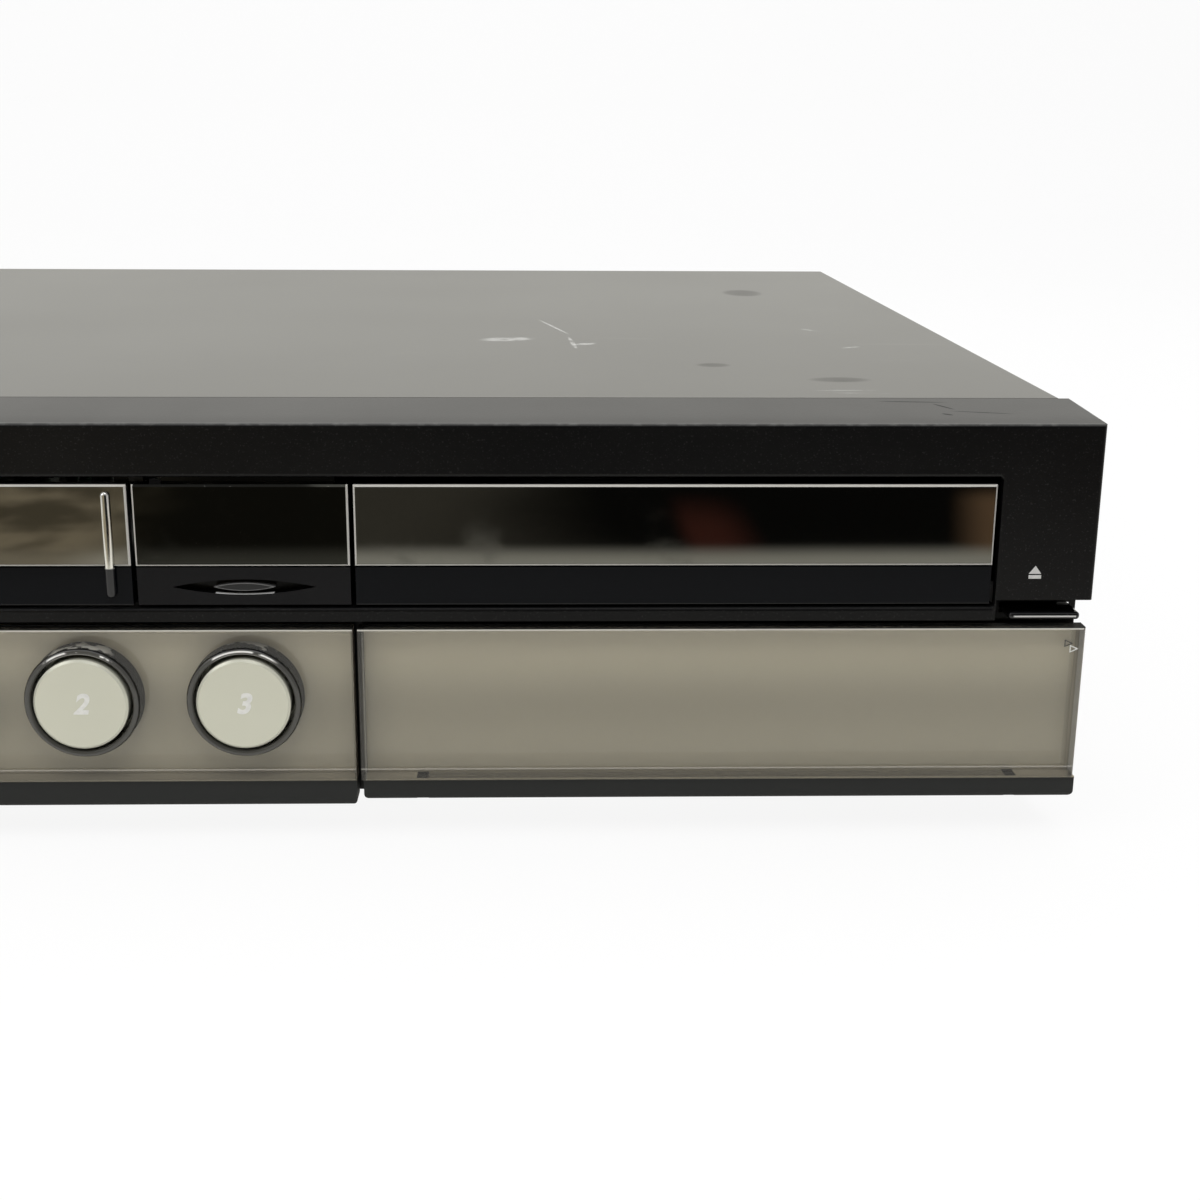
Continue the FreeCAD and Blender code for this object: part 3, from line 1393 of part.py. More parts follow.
def make_drum_head():
    """The upper half of the head drum, which spins on its shaft."""
    upper = leaning_rod(drum_split + play, drum_radius, drum_half_high)
    rim = leaning_rod(drum_split + play + drum_half_high - wall, drum_radius * 0.7, wall * 2)
    hollow = leaning_rod(drum_split + play + drum_half_high - wall / 2, drum_radius * 0.55, wall * 2)
    shaft = leaning_rod(drum_start + play, capstan_radius, drum_half_high + wall)
    return named("drum_head", joined(cut(joined(upper, rim), hollow), shaft))


def make_capstan():
    """The tape shaft and the flywheel below the deck."""
    wheel_top = deck_low - wall
    wheel = rod(capstan_x, capstan_y, wheel_top - board_thick * 3, flywheel_radius, board_thick * 3)
    collar = rod(capstan_x, capstan_y, wheel_top, capstan_radius * 2, wall - play)
    shaft_top = arm_low + roller_radius * 2 + wall
    shaft = rod(capstan_x, capstan_y, wheel_top - wall, capstan_radius, shaft_top - wheel_top + wall)
    return named("capstan", joined(wheel, collar, shaft))


def make_pinch_arm():
    """The swinging arm and the rubber roller that presses tape on the capstan."""
    hub = rod(arm_pivot_x, roller_y, arm_low, capstan_radius * 2.5, wall * 1.5)
    bar = block((capstan_x, arm_pivot_x), (roller_y - capstan_radius, roller_y + capstan_radius),
                (arm_low, arm_low + wall))
    roller = rod(capstan_x, roller_y, arm_low + wall, roller_radius, roller_radius * 1.9)
    bore = rod(arm_pivot_x, roller_y, arm_low - 1, capstan_radius + shaft_play, wall * 4)
    return named("pinch_arm", joined(cut(joined(hub, bar), bore), roller))


def make_reel(label, side):
    """A reel table: a disc, a hub and the splines that a cassette's reel fits over."""
    x = deck_middle + side * reel_spacing / 2
    disc = rod(x, reel_y, reel_low, reel_radius, wall)
    hub = rod(x, reel_y, reel_low, reel_radius * 0.6, foot_high * 0.7)
    nose = rod(x, reel_y, reel_low, capstan_radius * 2, foot_high + wall / 2)
    fins = [block((x - reel_radius * 0.33, x + reel_radius * 0.33), (reel_y - 1, reel_y + 1),
                  (reel_low, reel_low + foot_high)),
            block((x - 1, x + 1), (reel_y - reel_radius * 0.33, reel_y + reel_radius * 0.33),
                  (reel_low, reel_low + foot_high))]
    bore = rod(x, reel_y, reel_low - 1, capstan_radius + shaft_play, foot_high * 2)
    return named(label, cut(joined(disc, hub, nose, *fins), bore))


drive_inside = tray_wide / 2 + play
drive_outside = drive_inside + drive_wall
drive_y = front + drive_front
drive_end = drive_y + drive_long
drive_floor = drive_low + drive_wall
drive_top = drive_low + drive_wall_high
tray_front = window_back + tray_carrier_thick
tray_end = drive_end - tray_gap
tray_under = tray_top - tray_thick
skirt_low = tray_top - tray_skirt
skirt_in = tray_wide / 2 - tray_skirt * 0.75
spindle_y = front + spindle_from_front
gear_radius = tooth_module * gear_teeth / 2
pinion_radius = tooth_module * pinion_teeth / 2
gear_x = drive_middle - skirt_in + gear_radius + tooth_module * 4.5
gear_y = front + gear_from_front
gear_low = skirt_low - play * 2
pinion_x = gear_x + gear_radius + pinion_radius
traverse_top = tray_top - traverse_drop
traverse_low = traverse_top - drive_wall
traverse_y = spindle_y - turntable_radius - drive_wall
traverse_end = drive_end - traverse_gap
traverse_half = traverse_wide / 2
rod_reach = traverse_half - rod_radius * 6
rod_up = traverse_top + rod_radius * 2.8
upright_places = [spindle_y + drive_wall, traverse_end - drive_wall * 3]
lift_posts = [(drive_middle + side * (traverse_half - rod_radius * 2), y)
              for side in (-1, 1) for y in (traverse_y + rod_radius * 2, traverse_end - rod_radius * 2)]
lift_travel = turntable_radius * 0.4


def make_drive_frame():
    """The moulded frame of the disc drive, with the rails that the tray runs on."""
    x = (drive_middle - drive_outside, drive_middle + drive_outside)
    y = (drive_y, drive_end)
    floor = block(x, y, (drive_low, drive_floor))
    inner = (drive_middle - drive_inside, drive_middle + drive_inside)
    walls = [block((x[0], inner[0]), y, (drive_low, drive_top)),
             block((inner[1], x[1]), y, (drive_low, drive_top)),
             block(x, (drive_end - drive_wall, drive_end), (drive_low, traverse_top))]
    rail_top = skirt_low - play
    rail_in = drive_inside - tray_skirt
    rails = [block((x[0], drive_middle - rail_in), y, (rail_top - drive_wall, rail_top)),
             block((drive_middle + rail_in, x[1]), y, (rail_top - drive_wall, rail_top))]
    guard = (tray_top + play, tray_top + play + drive_wall)
    for start in (drive_y + drive_wall, spindle_y + disc_radius * 0.7):
        span = (start, start + drive_wall * 5)
        rails += [block((x[0], inner[0] + drive_wall), span, guard),
                  block((inner[1] - drive_wall, x[1]), span, guard)]
    posts = [rod(gear_x, gear_y, drive_low, gear_post * 2, gear_low - play - drive_low),
             rod(gear_x, gear_y, drive_low, gear_post, gear_low + gear_thick - drive_low)]
    for px, py in lift_posts:
        posts += [rod(px, py, drive_low, rod_radius * 2, traverse_low - play - drive_low),
                  rod(px, py, drive_low, rod_radius, traverse_top + lift_travel + play - drive_low)]
    hole = block((drive_middle - rod_reach, drive_middle + rod_reach),
                 (spindle_y + turntable_radius, drive_end - tray_skirt * 3),
                 (drive_low - 1, drive_floor + 1))
    return named("drive_frame", cut(joined(floor, *walls, *rails, *posts), hole))


clamp_low = tray_top + play * 2 + 0.2
bridge_thick = drive_wall * 0.75
bridge_top = drive_top + bridge_thick


def make_clamp_bridge():
    """The strap across the drive that holds the disc clamp."""
    strap = block((drive_middle - drive_outside, drive_middle + drive_outside),
                  (spindle_y - turntable_radius * 1.3, spindle_y + turntable_radius * 1.3),
                  (drive_top, bridge_top))
    hole = rod(drive_middle, spindle_y, drive_top - 1, clamp_radius + play, bridge_thick + 2)
    return named("clamp_bridge", cut(strap, hole))


def make_disc_clamp():
    """The puck that presses a disc on the turntable."""
    flange = rod(drive_middle, spindle_y, bridge_top + play, clamp_radius * 1.3, drive_wall)
    neck = rod(drive_middle, spindle_y, clamp_low, clamp_radius, bridge_top + play * 2 - clamp_low)
    hollow = rod(drive_middle, spindle_y, clamp_low - 1, turntable_radius * 0.6, drive_wall * 2)
    return named("disc_clamp", cut(joined(flange, neck), hollow))


pressure_angle = math.radians(20)


def half_tooth(radius, pitch_radius):
    """Half the angle that a tooth fills at a radius, from the involute of its base circle."""
    base = pitch_radius * math.cos(pressure_angle)
    slope = math.acos(min(1.0, base / radius))
    at_pitch = (math.pi * number(tooth_module) / 2 - number(tooth_slack)) / 2 / pitch_radius
    return at_pitch + math.tan(pressure_angle) - pressure_angle - math.tan(slope) + slope


def gear_solid(teeth, x, y, phase):
    """A spur gear with a vertical axis; one tooth points along the phase angle."""
    module = number(tooth_module)
    pitch_radius = module * teeth / 2
    base = pitch_radius * math.cos(pressure_angle)
    root = pitch_radius - module * 1.2
    tip = pitch_radius + module * 0.85
    steps = 5
    low = max(base, root)
    corners = []
    for n in range(teeth):
        middle = math.radians(phase) + 2 * math.pi * n / teeth
        rising = [(root, half_tooth(low, pitch_radius))] if root < low else []
        for k in range(steps + 1):
            radius = low + (tip - low) * k / steps
            rising.append((radius, half_tooth(radius, pitch_radius)))
        corners += [(radius, middle - half) for radius, half in rising]
        corners += [(radius, middle + half) for radius, half in reversed(rising)]
    points = [Vector(r * math.cos(a), r * math.sin(a), 0) for r, a in corners]
    face = Part.Face(Part.makePolygon(points + points[:1]))
    solid = face.extrude(Vector(0, 0, number(gear_thick)))
    solid.translate(Vector(number(x), number(y), number(gear_low)))
    return solid


def make_tray_gear():
    """The gear that drives the tray's rack."""
    wheel = shaped(gear_solid(gear_teeth, gear_x, gear_y, 180))
    bore = rod(gear_x, gear_y, gear_low - 1, gear_post + shaft_play, gear_thick + 2)
    return named("tray_gear", cut(wheel, bore))


def make_motor_pinion():
    """The small gear on the loading motor's shaft."""
    wheel = shaped(gear_solid(pinion_teeth, pinion_x, gear_y, 180 + 180 / pinion_teeth))
    shaft = rod(pinion_x, gear_y, gear_low - drive_wall * 2, gear_post / 2, drive_wall * 2 + gear_thick)
    return named("motor_pinion", joined(wheel, shaft))


def make_loading_motor():
    """The small motor that works the tray."""
    can_radius = pinion_radius * 1.6
    can = rod(pinion_x, gear_y, drive_floor, can_radius, gear_low - drive_wall - drive_floor)
    boss = rod(pinion_x, gear_y, drive_floor, gear_post * 1.5, gear_low - play - drive_floor)
    bore = rod(pinion_x, gear_y, gear_low - drive_wall * 2 - play, gear_post / 2 + shaft_play, tray_skirt)
    return named("loading_motor", cut(joined(can, boss), bore))


def rack_solid():
    """A straight rack under the tray whose teeth face the gear; one gap is level with the gear."""
    module = number(tooth_module)
    pitch = math.pi * module
    line = number(gear_x) - module * gear_teeth / 2
    back_line = number(drive_middle - skirt_in) - 1
    lean = math.tan(pressure_angle)
    half = (pitch / 2 - number(tooth_slack)) / 2
    root = line - module * 1.2
    tip = line + module * 0.85
    start = number(gear_y) - 3.5 * pitch
    corners = [(back_line, start - pitch / 2), (root, start - pitch / 2)]
    for n in range(rack_teeth):
        middle = start + n * pitch
        foot = half + (line - root) * lean
        crest = half - (tip - line) * lean
        corners += [(root, middle - foot), (tip, middle - crest), (tip, middle + crest),
                    (root, middle + foot)]
    end = start + (rack_teeth - 0.5) * pitch
    corners += [(root, end), (back_line, end)]
    points = [Vector(x, y, 0) for x, y in corners]
    face = Part.Face(Part.makePolygon(points + points[:1]))
    solid = face.extrude(Vector(0, 0, number(tray_under - skirt_low) + 1))
    solid.translate(Vector(0, 0, number(skirt_low)))
    return solid


def make_disc_tray():
    """The sliding tray: its disc hollow, its skirts and the rack below."""
    half = tray_wide / 2
    x = (drive_middle - half, drive_middle + half)
    y = (tray_front, tray_end)
    plate = block(x, y, (tray_under, tray_top))
    skirt_y = (tray_front + tray_skirt, tray_end)
    skirts = [block((x[0], drive_middle - skirt_in), skirt_y, (skirt_low, tray_top)),
              block((drive_middle + skirt_in, x[1]), skirt_y, (skirt_low, tray_top))]
    lip = block((drive_middle - skirt_in, drive_middle + skirt_in), (tray_front, tray_front + drive_wall),
                (skirt_low, tray_top))
    hollow = rod(drive_middle, spindle_y, tray_top - disc_deep, disc_radius + play * 2, disc_deep + 1)
    eye = rod(drive_middle, spindle_y, tray_under - 1, turntable_radius * 1.3, tray_thick + 2)
    slot = wide_block(drive_middle, turntable_radius * 1.9, (spindle_y, spindle_y + disc_radius + foot_high),
                      (tray_under - 1, tray_top + 1))
    finger = [rod(drive_middle + side * disc_radius, spindle_y, tray_top - disc_deep, foot_high,
                  disc_deep + 1) for side in (-1, 1)]
    return named("disc_tray",
                 cut(joined(plate, *skirts, lip, shaped(rack_solid())), hollow, eye, slot, *finger))


def make_traverse_plate():
    """The lifting plate that carries the turntable and the pickup's rods."""
    plate = block((drive_middle - traverse_half, drive_middle + traverse_half), (traverse_y, traverse_end),
                  (traverse_low, traverse_top))
    boss = rod(drive_middle, spindle_y, traverse_low, rod_radius * 3, drive_wall + 0.8)
    uprights = []
    for y in upright_places:
        for side in (-1, 1):
            uprights.append(wide_block(drive_middle + side * rod_reach, rod_radius * 4,
                                       (y, y + drive_wall * 1.5),
                                       (traverse_low, rod_up + rod_radius * 1.8)))
    hole = rod(drive_middle, spindle_y, traverse_low - 1, rod_radius + shaft_play, drive_wall * 3)
    tools = [rod(px, py, traverse_low - 1, rod_radius + shaft_play, drive_wall + 2) for px, py in lift_posts]
    tools += [rod(drive_middle + side * rod_reach, traverse_y, rod_up, rod_radius + shaft_play,
                  traverse_end - traverse_y, "Y") for side in (-1, 1)]
    window = block((drive_middle - rod_reach + rod_radius * 3, drive_middle + rod_reach - rod_radius * 3),
                   (spindle_y + turntable_radius + 2, traverse_end - tray_skirt),
                   (traverse_low - 1, traverse_top + 1))
    return named("traverse_plate", cut(joined(plate, boss, *uprights), hole, window, *tools))


table_top = tray_under - drive_wall - 0.5


def make_turntable():
    """The disc's turntable on its motor's rotor."""
    cup_low = traverse_top + 0.8 + play
    table_low = table_top - drive_wall * 1.5
    rotor = rod(drive_middle, spindle_y, cup_low, turntable_radius * 0.9, table_low - cup_low)
    table = rod(drive_middle, spindle_y, table_low, turntable_radius, drive_wall * 1.5)
    nose = cone(drive_middle, spindle_y, table_top, turntable_radius * 0.52, turntable_radius * 0.43,
                drive_wall)
    shaft = rod(drive_middle, spindle_y, traverse_low, rod_radius, cup_low - traverse_low + 1)
    return named("turntable", joined(rotor, table, nose, shaft))


pickup_y = spindle_y + turntable_radius + drive_wall


def make_pickup():
    """The laser pickup: its sled on two rods and its round lens."""
    end = pickup_y + disc_radius * 0.46
    sled = block((drive_middle - rod_reach + rod_radius * 3, drive_middle + rod_reach - rod_radius * 3),
                 (pickup_y, end),
                 (rod_up - rod_radius * 1.7, rod_up + rod_radius * 1.7))
    lugs = [block((drive_middle - rod_reach - rod_radius * 1.8, drive_middle + rod_reach + rod_radius * 1.8),
                  (y, y + drive_wall * 2),
                  (rod_up - rod_radius * 1.7, rod_up + rod_radius * 1.7))
            for y in (pickup_y, end - drive_wall * 2)]
    lens = rod(drive_middle, pickup_y + foot_high, rod_up, turntable_radius / 4, rod_radius * 3.3)
    bores = [rod(drive_middle + side * rod_reach, pickup_y - 1, rod_up, rod_radius + shaft_play, disc_radius,
                 "Y") for side in (-1, 1)]
    return named("pickup", cut(joined(sled, *lugs, lens), *bores))


def make_guide_rods():
    """The two polished rods that the pickup slides on."""
    start = upright_places[0] + play
    length = upright_places[1] + drive_wall * 1.5 - play - start
    rods = [rod(drive_middle + side * rod_reach, start, rod_up, rod_radius, length, "Y") for side in (-1, 1)]
    return named("guide_rods", group(*rods))


def make_everything():
    make_top_cover()
    make_chassis_base()
    make_rear_panel()
    make_front_bezel()
    make_centre_panel()
    make_indicator_lamp()
    make_cassette_door()
    make_window("cassette_window", cassette_left, cassette_right)
    make_door_spring()
    make_tray_door()
    make_window("tray_window", tray_door_left, tray_door_right)
    make_display_panel()
    make_display_lens()
    make_lower_door()
    make_lower_door_lens()
    make_button_rings()
    for label, place in zip(("round_button_left", "round_button_middle", "round_button_right"),
                            button_places):
        make_round_button(label, place, cap_radius)
    make_round_button("power_button", -power_place, power_radius)
    make_side_button("tray_button", side_button_left)
    make_side_button("eject_button", -side_button_right)
    make_small_button("channel_down_button", small_cap_places[0])
    make_small_button("channel_up_button", small_cap_places[1])
    make_front_board()
    make_display_tube()
    make_jack_plate()
    make_front_jacks()
    make_feet()
    make_case_screws()
    make_av_sockets()
    make_aerial_block()
    make_digital_sockets()
    make_mains_inlet()
    make_fan_frame()
    make_fan_rotor()
    make_main_board()
    make_power_board()
    make_hard_disk()
    make_deck_plate()
    make_holder_carriage()
    make_cassette_holder()
    make_drum_base()
    make_drum_head()
    make_capstan()
    make_pinch_arm()
    make_reel("supply_reel", -1)
    make_reel("takeup_reel", 1)
    make_drive_frame()
    make_clamp_bridge()
    make_disc_clamp()
    make_tray_gear()
    make_motor_pinion()
    make_loading_motor()
    make_disc_tray()
    make_traverse_plate()
    make_turntable()
    make_pickup()
    make_guide_rods()


def check_everything():
    """Stops before anything is written if a feature failed or a piece isn't sound."""
    for thing in doc.Objects:
        if "Invalid" in thing.State or "Error" in thing.State:
            raise RuntimeError(f"{thing.Name} failed")
    for thing in finished:
        if thing.Shape.isNull() or not thing.Shape.isValid() or not thing.Shape.Solids:
            raise RuntimeError(f"{thing.Label} isn't a sound solid")


make_everything()
doc.recompute()
check_everything()
os.makedirs("parts", exist_ok=True)
for piece in finished:
    piece.Shape.exportStep(f"parts/{piece.Label}.step")
print(len(finished), "pieces written")
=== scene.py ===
# %% [markdown]
# # A home recorder, dressed for a photograph
# The recorder is a wide, low black box. Its steel cover and its moulded front came from the drawing
# office as solid pieces, already in place and already hinged. This lesson gives each piece its finish,
# adds the small parts that are easier to shape here, and lights it on a pale table. First the ready
# pieces are fetched.

# %% Fetch the ready pieces
import math

import bmesh
import bpy
from mathutils import Matrix, Vector


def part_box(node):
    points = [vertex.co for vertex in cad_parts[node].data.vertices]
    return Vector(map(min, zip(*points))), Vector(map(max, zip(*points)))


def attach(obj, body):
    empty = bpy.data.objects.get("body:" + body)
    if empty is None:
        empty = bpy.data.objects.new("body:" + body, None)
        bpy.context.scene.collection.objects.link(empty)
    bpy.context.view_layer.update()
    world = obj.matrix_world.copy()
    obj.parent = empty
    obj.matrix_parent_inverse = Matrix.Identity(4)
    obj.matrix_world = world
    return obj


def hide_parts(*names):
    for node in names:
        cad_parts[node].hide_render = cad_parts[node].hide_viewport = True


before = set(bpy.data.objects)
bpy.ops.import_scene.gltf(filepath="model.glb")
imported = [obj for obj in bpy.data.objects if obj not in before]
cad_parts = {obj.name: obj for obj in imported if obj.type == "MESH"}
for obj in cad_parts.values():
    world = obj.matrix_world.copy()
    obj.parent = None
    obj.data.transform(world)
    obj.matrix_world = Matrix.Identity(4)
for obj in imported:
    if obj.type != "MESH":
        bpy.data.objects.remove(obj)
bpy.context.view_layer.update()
MM = 0.001
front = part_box("display_lens")[0].y
print(len(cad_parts), "pieces, front face at", round(front, 5))

# %% [markdown]
# ## The camera
# The photographer stood close, a little right of the middle and a little above the lid, and framed the
# right two thirds of the unit. A long lens from far away would flatten the lid, so the lens and the place
# both matter. The turn is built from a yaw, a pitch and a roll, because those are the angles a tripod
# head has.

# %% Place the camera
VIEW_FROM = Vector((93.4, -334.8, 156.8)) * MM + Vector((0, front, 0))
YAW, PITCH, ROLL = math.radians(1.459), math.radians(14.962), math.radians(-0.321)

camera_data = bpy.data.cameras.new("view")
camera_data.sensor_width = 36
camera_data.lens = 48.3
camera_data.shift_x = 0.0197
camera_data.shift_y = -0.0411
camera_data.clip_start = 0.01
camera = bpy.data.objects.new("view", camera_data)
bpy.context.scene.collection.objects.link(camera)
ahead = Vector((math.sin(YAW) * math.cos(PITCH), math.cos(YAW) * math.cos(PITCH), -math.sin(PITCH)))
level = Vector((math.cos(YAW), -math.sin(YAW), 0))
down = ahead.cross(level)
right = math.cos(ROLL) * level + math.sin(ROLL) * down
down = math.cos(ROLL) * down - math.sin(ROLL) * level
turn = Matrix((right, -down, -ahead)).transposed()
camera.matrix_world = Matrix.Translation(VIEW_FROM) @ turn.to_4x4()
bpy.context.scene.camera = camera
bpy.context.scene.view_settings.view_transform = "Standard"
print("camera at", [round(part, 4) for part in VIEW_FROM], "with a", round(camera_data.lens, 1), "mm lens")

# %% [markdown]
# ## Writing a finish as a sum
# A finish is a small network of nodes. Wiring it by hand takes many lines, so a thin wrapper holds one
# socket and understands + - * < and >. Each operator adds one Math node. A plain number may stand on either
# side of + - and *.

# %% A socket that can be added and multiplied
class Wire:
    def __init__(self, finish, socket):
        self.finish = finish
        self.socket = socket

    def maths(self, operation, first, second_highlight=0.0):
        return self.finish.node("Math", {"operation": operation}, {0: first, 1: second_highlight})

    def __add__(self, other):
        return self.maths("ADD", self, other)

    def __radd__(self, other):
        return self.maths("ADD", other, self)

    def __sub__(self, other):
        return self.maths("SUBTRACT", self, other)

    def __rsub__(self, other):
        return self.maths("SUBTRACT", other, self)

    def __mul__(self, other):
        return self.maths("MULTIPLY", self, other)

    def __rmul__(self, other):
        return self.maths("MULTIPLY", other, self)

    def __gt__(self, other):
        return self.maths("GREATER_THAN", self, other)

    def __lt__(self, other):
        return self.maths("LESS_THAN", self, other)

    def power(self, other):
        return self.maths("POWER", self, other)

    def size(self):
        return self.maths("ABSOLUTE", self)

# %% [markdown]
# ## A finish
# Everything that isn't a sum, such as a noise or a soft step, comes from one method that takes the node's
# type, its settings and its inputs. Every pattern is laid out over the object's own x, y and z, so it
# needs no unwrapping, stays on its piece when the piece moves, and looks the same from every side.

# %% One material, written as a sum
class Finish:
    """One material, with its place on the piece ready as x, y and z in metres."""

    def __init__(self, name):
        self.material = bpy.data.materials.new(name)
        self.material.use_nodes = True
        self.tree = self.material.node_tree
        self.tree.nodes.clear()
        self.place = self.node("TexCoord", out="Object")
        parts = self.node("SeparateXYZ", values={0: self.place}).socket.node.outputs
        self.x, self.y, self.z = (Wire(self, part) for part in parts)

    def node(self, kind, settings=None, values=None, out=0):
        """One node of any type; the output node alone has nothing to hand on."""
        made = self.tree.nodes.new("ShaderNode" + kind)
        for word, value in (settings or {}).items():
            setattr(made, word, value)
        for word, value in (values or {}).items():
            if isinstance(value, Wire):
                self.tree.links.new(value.socket, made.inputs[word])
            else:
                made.inputs[word].default_value = value
        return Wire(self, made.outputs[out]) if len(made.outputs) else None

    def noise(self, scale, detail=2.0, place=None):
        values = {"Vector": place or self.place, "Scale": scale, "Detail": detail}
        return self.node("TexNoise", values=values)

    def blend(self, share, first, second_highlight):
        """A colour between two colours."""
        values = {0: share, 6: first if isinstance(first, Wire) else (*first, 1),
                  7: second_highlight if isinstance(second_highlight, Wire) else (*second_highlight, 1)}
        return self.node("Mix", {"data_type": "RGBA"}, values, out=2)

    def between(self, value, low, high):
        """0 below low, 1 above high, and a smooth rise from one to the other."""
        settings = {"interpolation_type": "SMOOTHSTEP", "clamp": True}
        return self.node("MapRange", settings, {0: value, 1: low, 2: high})

    def lesser(self, *values):
        """The smallest of several numbers."""
        least = values[0]
        for value in values[1:]:
            least = self.node("Math", {"operation": "MINIMUM"}, {0: least, 1: value})
        return least

    def bump(self, height, depth, strength):
        return self.node("Bump", values={"Height": height, "Distance": depth, "Strength": strength})

    def mixed(self, share, first, second_highlight):
        """A shader between two shaders."""
        return self.node("MixShader", values={0: share, 1: first, 2: second_highlight})

    def solid(self, values):
        return self.node("BsdfPrincipled", values=values)

    def done(self, shader):
        self.node("OutputMaterial", values={"Surface": shader})
        print(self.material.name, "has", len(self.tree.nodes), "nodes")
        return self.material

# %% [markdown]
# ## The lid's paint
# The cover is folded sheet steel with a black satin paint. Seen this low it looks grey, because paint
# shines most at a flat angle and the room behind is pale. So the colour stays near black and the
# roughness does the work. Real paint has a fine orange-peel grain. A used lid also has a few marks, and
# each is an oval here: a dark one is a greasy smudge, and a thin pale one is a scratch. An oval costs a
# few nodes and no picture. Each is given by its place on the lid, half its length, half its width and its
# turn in degrees.

# %% Satin paint with a little wear
SMUDGES = [(168.7, 258, 8, 13, 0), (167.4, 54, 8.5, 4.5, 0), (139, 78, 5, 4, 0)]
SCRATCHES = [(98.5, 157, 22, 0.55, -76), (103.6, 120, 15, 0.8, -86), (107, 118, 4, 2.2, 30),
             (166, 38, 9, 0.35, 2), (169, 34, 8, 0.3, -2), (85, 128, 9, 5, 15), (176, 150, 5, 0.8, -50),
             (181, 112, 4, 0.8, 30)]
GREASE = (0.008, 0.008, 0.008)
BARED = (0.46, 0.46, 0.44)


def oval(look, x, y, half_long, half_wide, turn):
    """1 in the middle of an oval on the lid, given in millimetres, and a soft fall to 0 at its edge."""
    cosine, sine = math.cos(math.radians(turn)), math.sin(math.radians(turn))
    aside, ahead = look.x - x * MM, look.y - (y * MM + front)
    along = (aside * cosine + ahead * sine) * (1 / (half_long * MM))
    across = (ahead * cosine - aside * sine) * (1 / (half_wide * MM))
    return 1 - look.between(along * along + across * across, 0.25, 1.0)


def satin_paint(name, shade, roughness, grain):
    look = Finish(name)
    peel = look.noise(2600, 2)
    cloud = look.noise(7, 3)
    worn = look.noise(150, 5)
    drawn_out = {"Vector": look.place, "Rotation": (0, 0, 0.5), "Scale": (14, 260, 14)}
    hairline = look.between(look.noise(1, 3, look.node("Mapping", values=drawn_out)), 0.715, 0.74)
    smudge = 0
    for mark in SMUDGES:
        smudge = oval(look, *mark) * (0.5 + worn * 0.9) + smudge
    scratch = hairline * 0.25
    for mark in SCRATCHES:
        scratch = oval(look, *mark) * look.between(worn, 0.30, 0.52) + scratch
    rubbed = roughness + (cloud - 0.5) * 0.07 + scratch * 0.25 + smudge * 0.10
    colour = look.blend(look.lesser(scratch * 0.85, 1.0), shade, BARED)
    return look.done(look.solid({"Base Color": look.blend(smudge * 0.5, colour, GREASE),
                                 "Roughness": rubbed, "Specular IOR Level": 0.62,
                                 "Normal": look.bump(peel - scratch * 0.3, grain, 0.5),
                                 "Specular Tint": (1.0, 0.975, 0.90, 1)}))


cover_paint = satin_paint("cover_paint", (0.058, 0.057, 0.050), 0.33, 0.00004)

# %% [markdown]
# ## Moulded plastics
# Most plastic parts are one plain moulding in one colour, with a fine spark-eroded grain, so one function
# makes them all. Shade, roughness and grain differ, and the silver caps take a little metal as well. The
# display tube is glass, but plain and dark enough to share the function.

# %% Plain mouldings
def moulded(name, shade, roughness, grain=0.00003, scale=1800, lift=1.5, metal=0.0):
    look = Finish(name)
    speck = look.noise(scale, 3)
    haze = look.noise(24, 4)
    colour = look.blend(look.between(haze, 0.35, 0.75), shade, tuple(part * lift for part in shade))
    rough = roughness + (haze - 0.5) * 0.14
    return look.done(look.solid({"Base Color": colour, "Roughness": rough, "Metallic": metal,
                                 "Specular IOR Level": 0.5, "Normal": look.bump(speck, grain, 0.4)}))


inner_black = moulded("inner_black", (0.02, 0.02, 0.02), 0.5)
pale_nylon = moulded("pale_nylon", (0.62, 0.61, 0.55), 0.45)
rubber_black = moulded("rubber_black", (0.022, 0.022, 0.022), 0.8, 0.00008, 900)
cap_silver = moulded("cap_silver", (0.60, 0.60, 0.50), 0.30, 0.000006, 3000, 1.06, 0.35)
tube_glass = moulded("tube_glass", (0.008, 0.014, 0.014), 0.08, 0.000004)

# %% [markdown]
# ## The bezel
# The upper front is the largest black moulding. Its top face is painted greyer than its front, as painted
# light from above. Dust also clings to its long upper edge, and a hair has left a thin dark line near the
# right end. Small pale pores keep the black from looking painted on.

# %% Bezel plastic
HAIR = [(178, 23, 9, 0.5, -4), (184, 18, 4, 0.5, -60), (191, 12, 8, 0.4, -12), (183, 10, 1.6, 0.7, -40)]
DUSTY_EDGE = (94.4 * MM, 94.8 * MM)
TOP_FACE = (95.0 * MM, 95.3 * MM)


def bezel_plastic():
    look = Finish("bezel_black")
    speck = look.noise(1800, 3)
    haze = look.noise(24, 4)
    hair = 0
    for mark in HAIR:
        hair = oval(look, *mark) + hair
    edge = look.between(look.z, *DUSTY_EDGE) * (look.y < front + 1.2 * MM)
    dust = edge * (0.45 + look.between(look.noise(420, 4), 0.45, 0.66) * 0.5)
    pores = look.between(look.noise(2300, 2), 0.60, 0.72) * 0.35
    black = look.blend(look.between(haze, 0.35, 0.75), (0.0028, 0.0028, 0.003), (0.0042, 0.0042, 0.0042))
    # Painted light: the top face is mixed lighter grey than the front, for the light it gets from above.
    painted_lit_top = look.blend(look.between(look.z, *TOP_FACE), black, (0.017, 0.017, 0.016))
    dusty = look.blend(look.lesser(dust * 0.35 + pores * 0.2, 1.0), painted_lit_top, (0.20, 0.20, 0.19))
    return look.done(look.solid({"Base Color": look.blend(hair * 0.7, dusty, (0.002, 0.002, 0.002)),
                                 "Roughness": 0.32 + (haze - 0.5) * 0.10 + hair * 0.2,
                                 "Specular IOR Level": 0.165, "Normal": look.bump(speck, 0.00005, 0.4)}))


bezel_black = bezel_plastic()
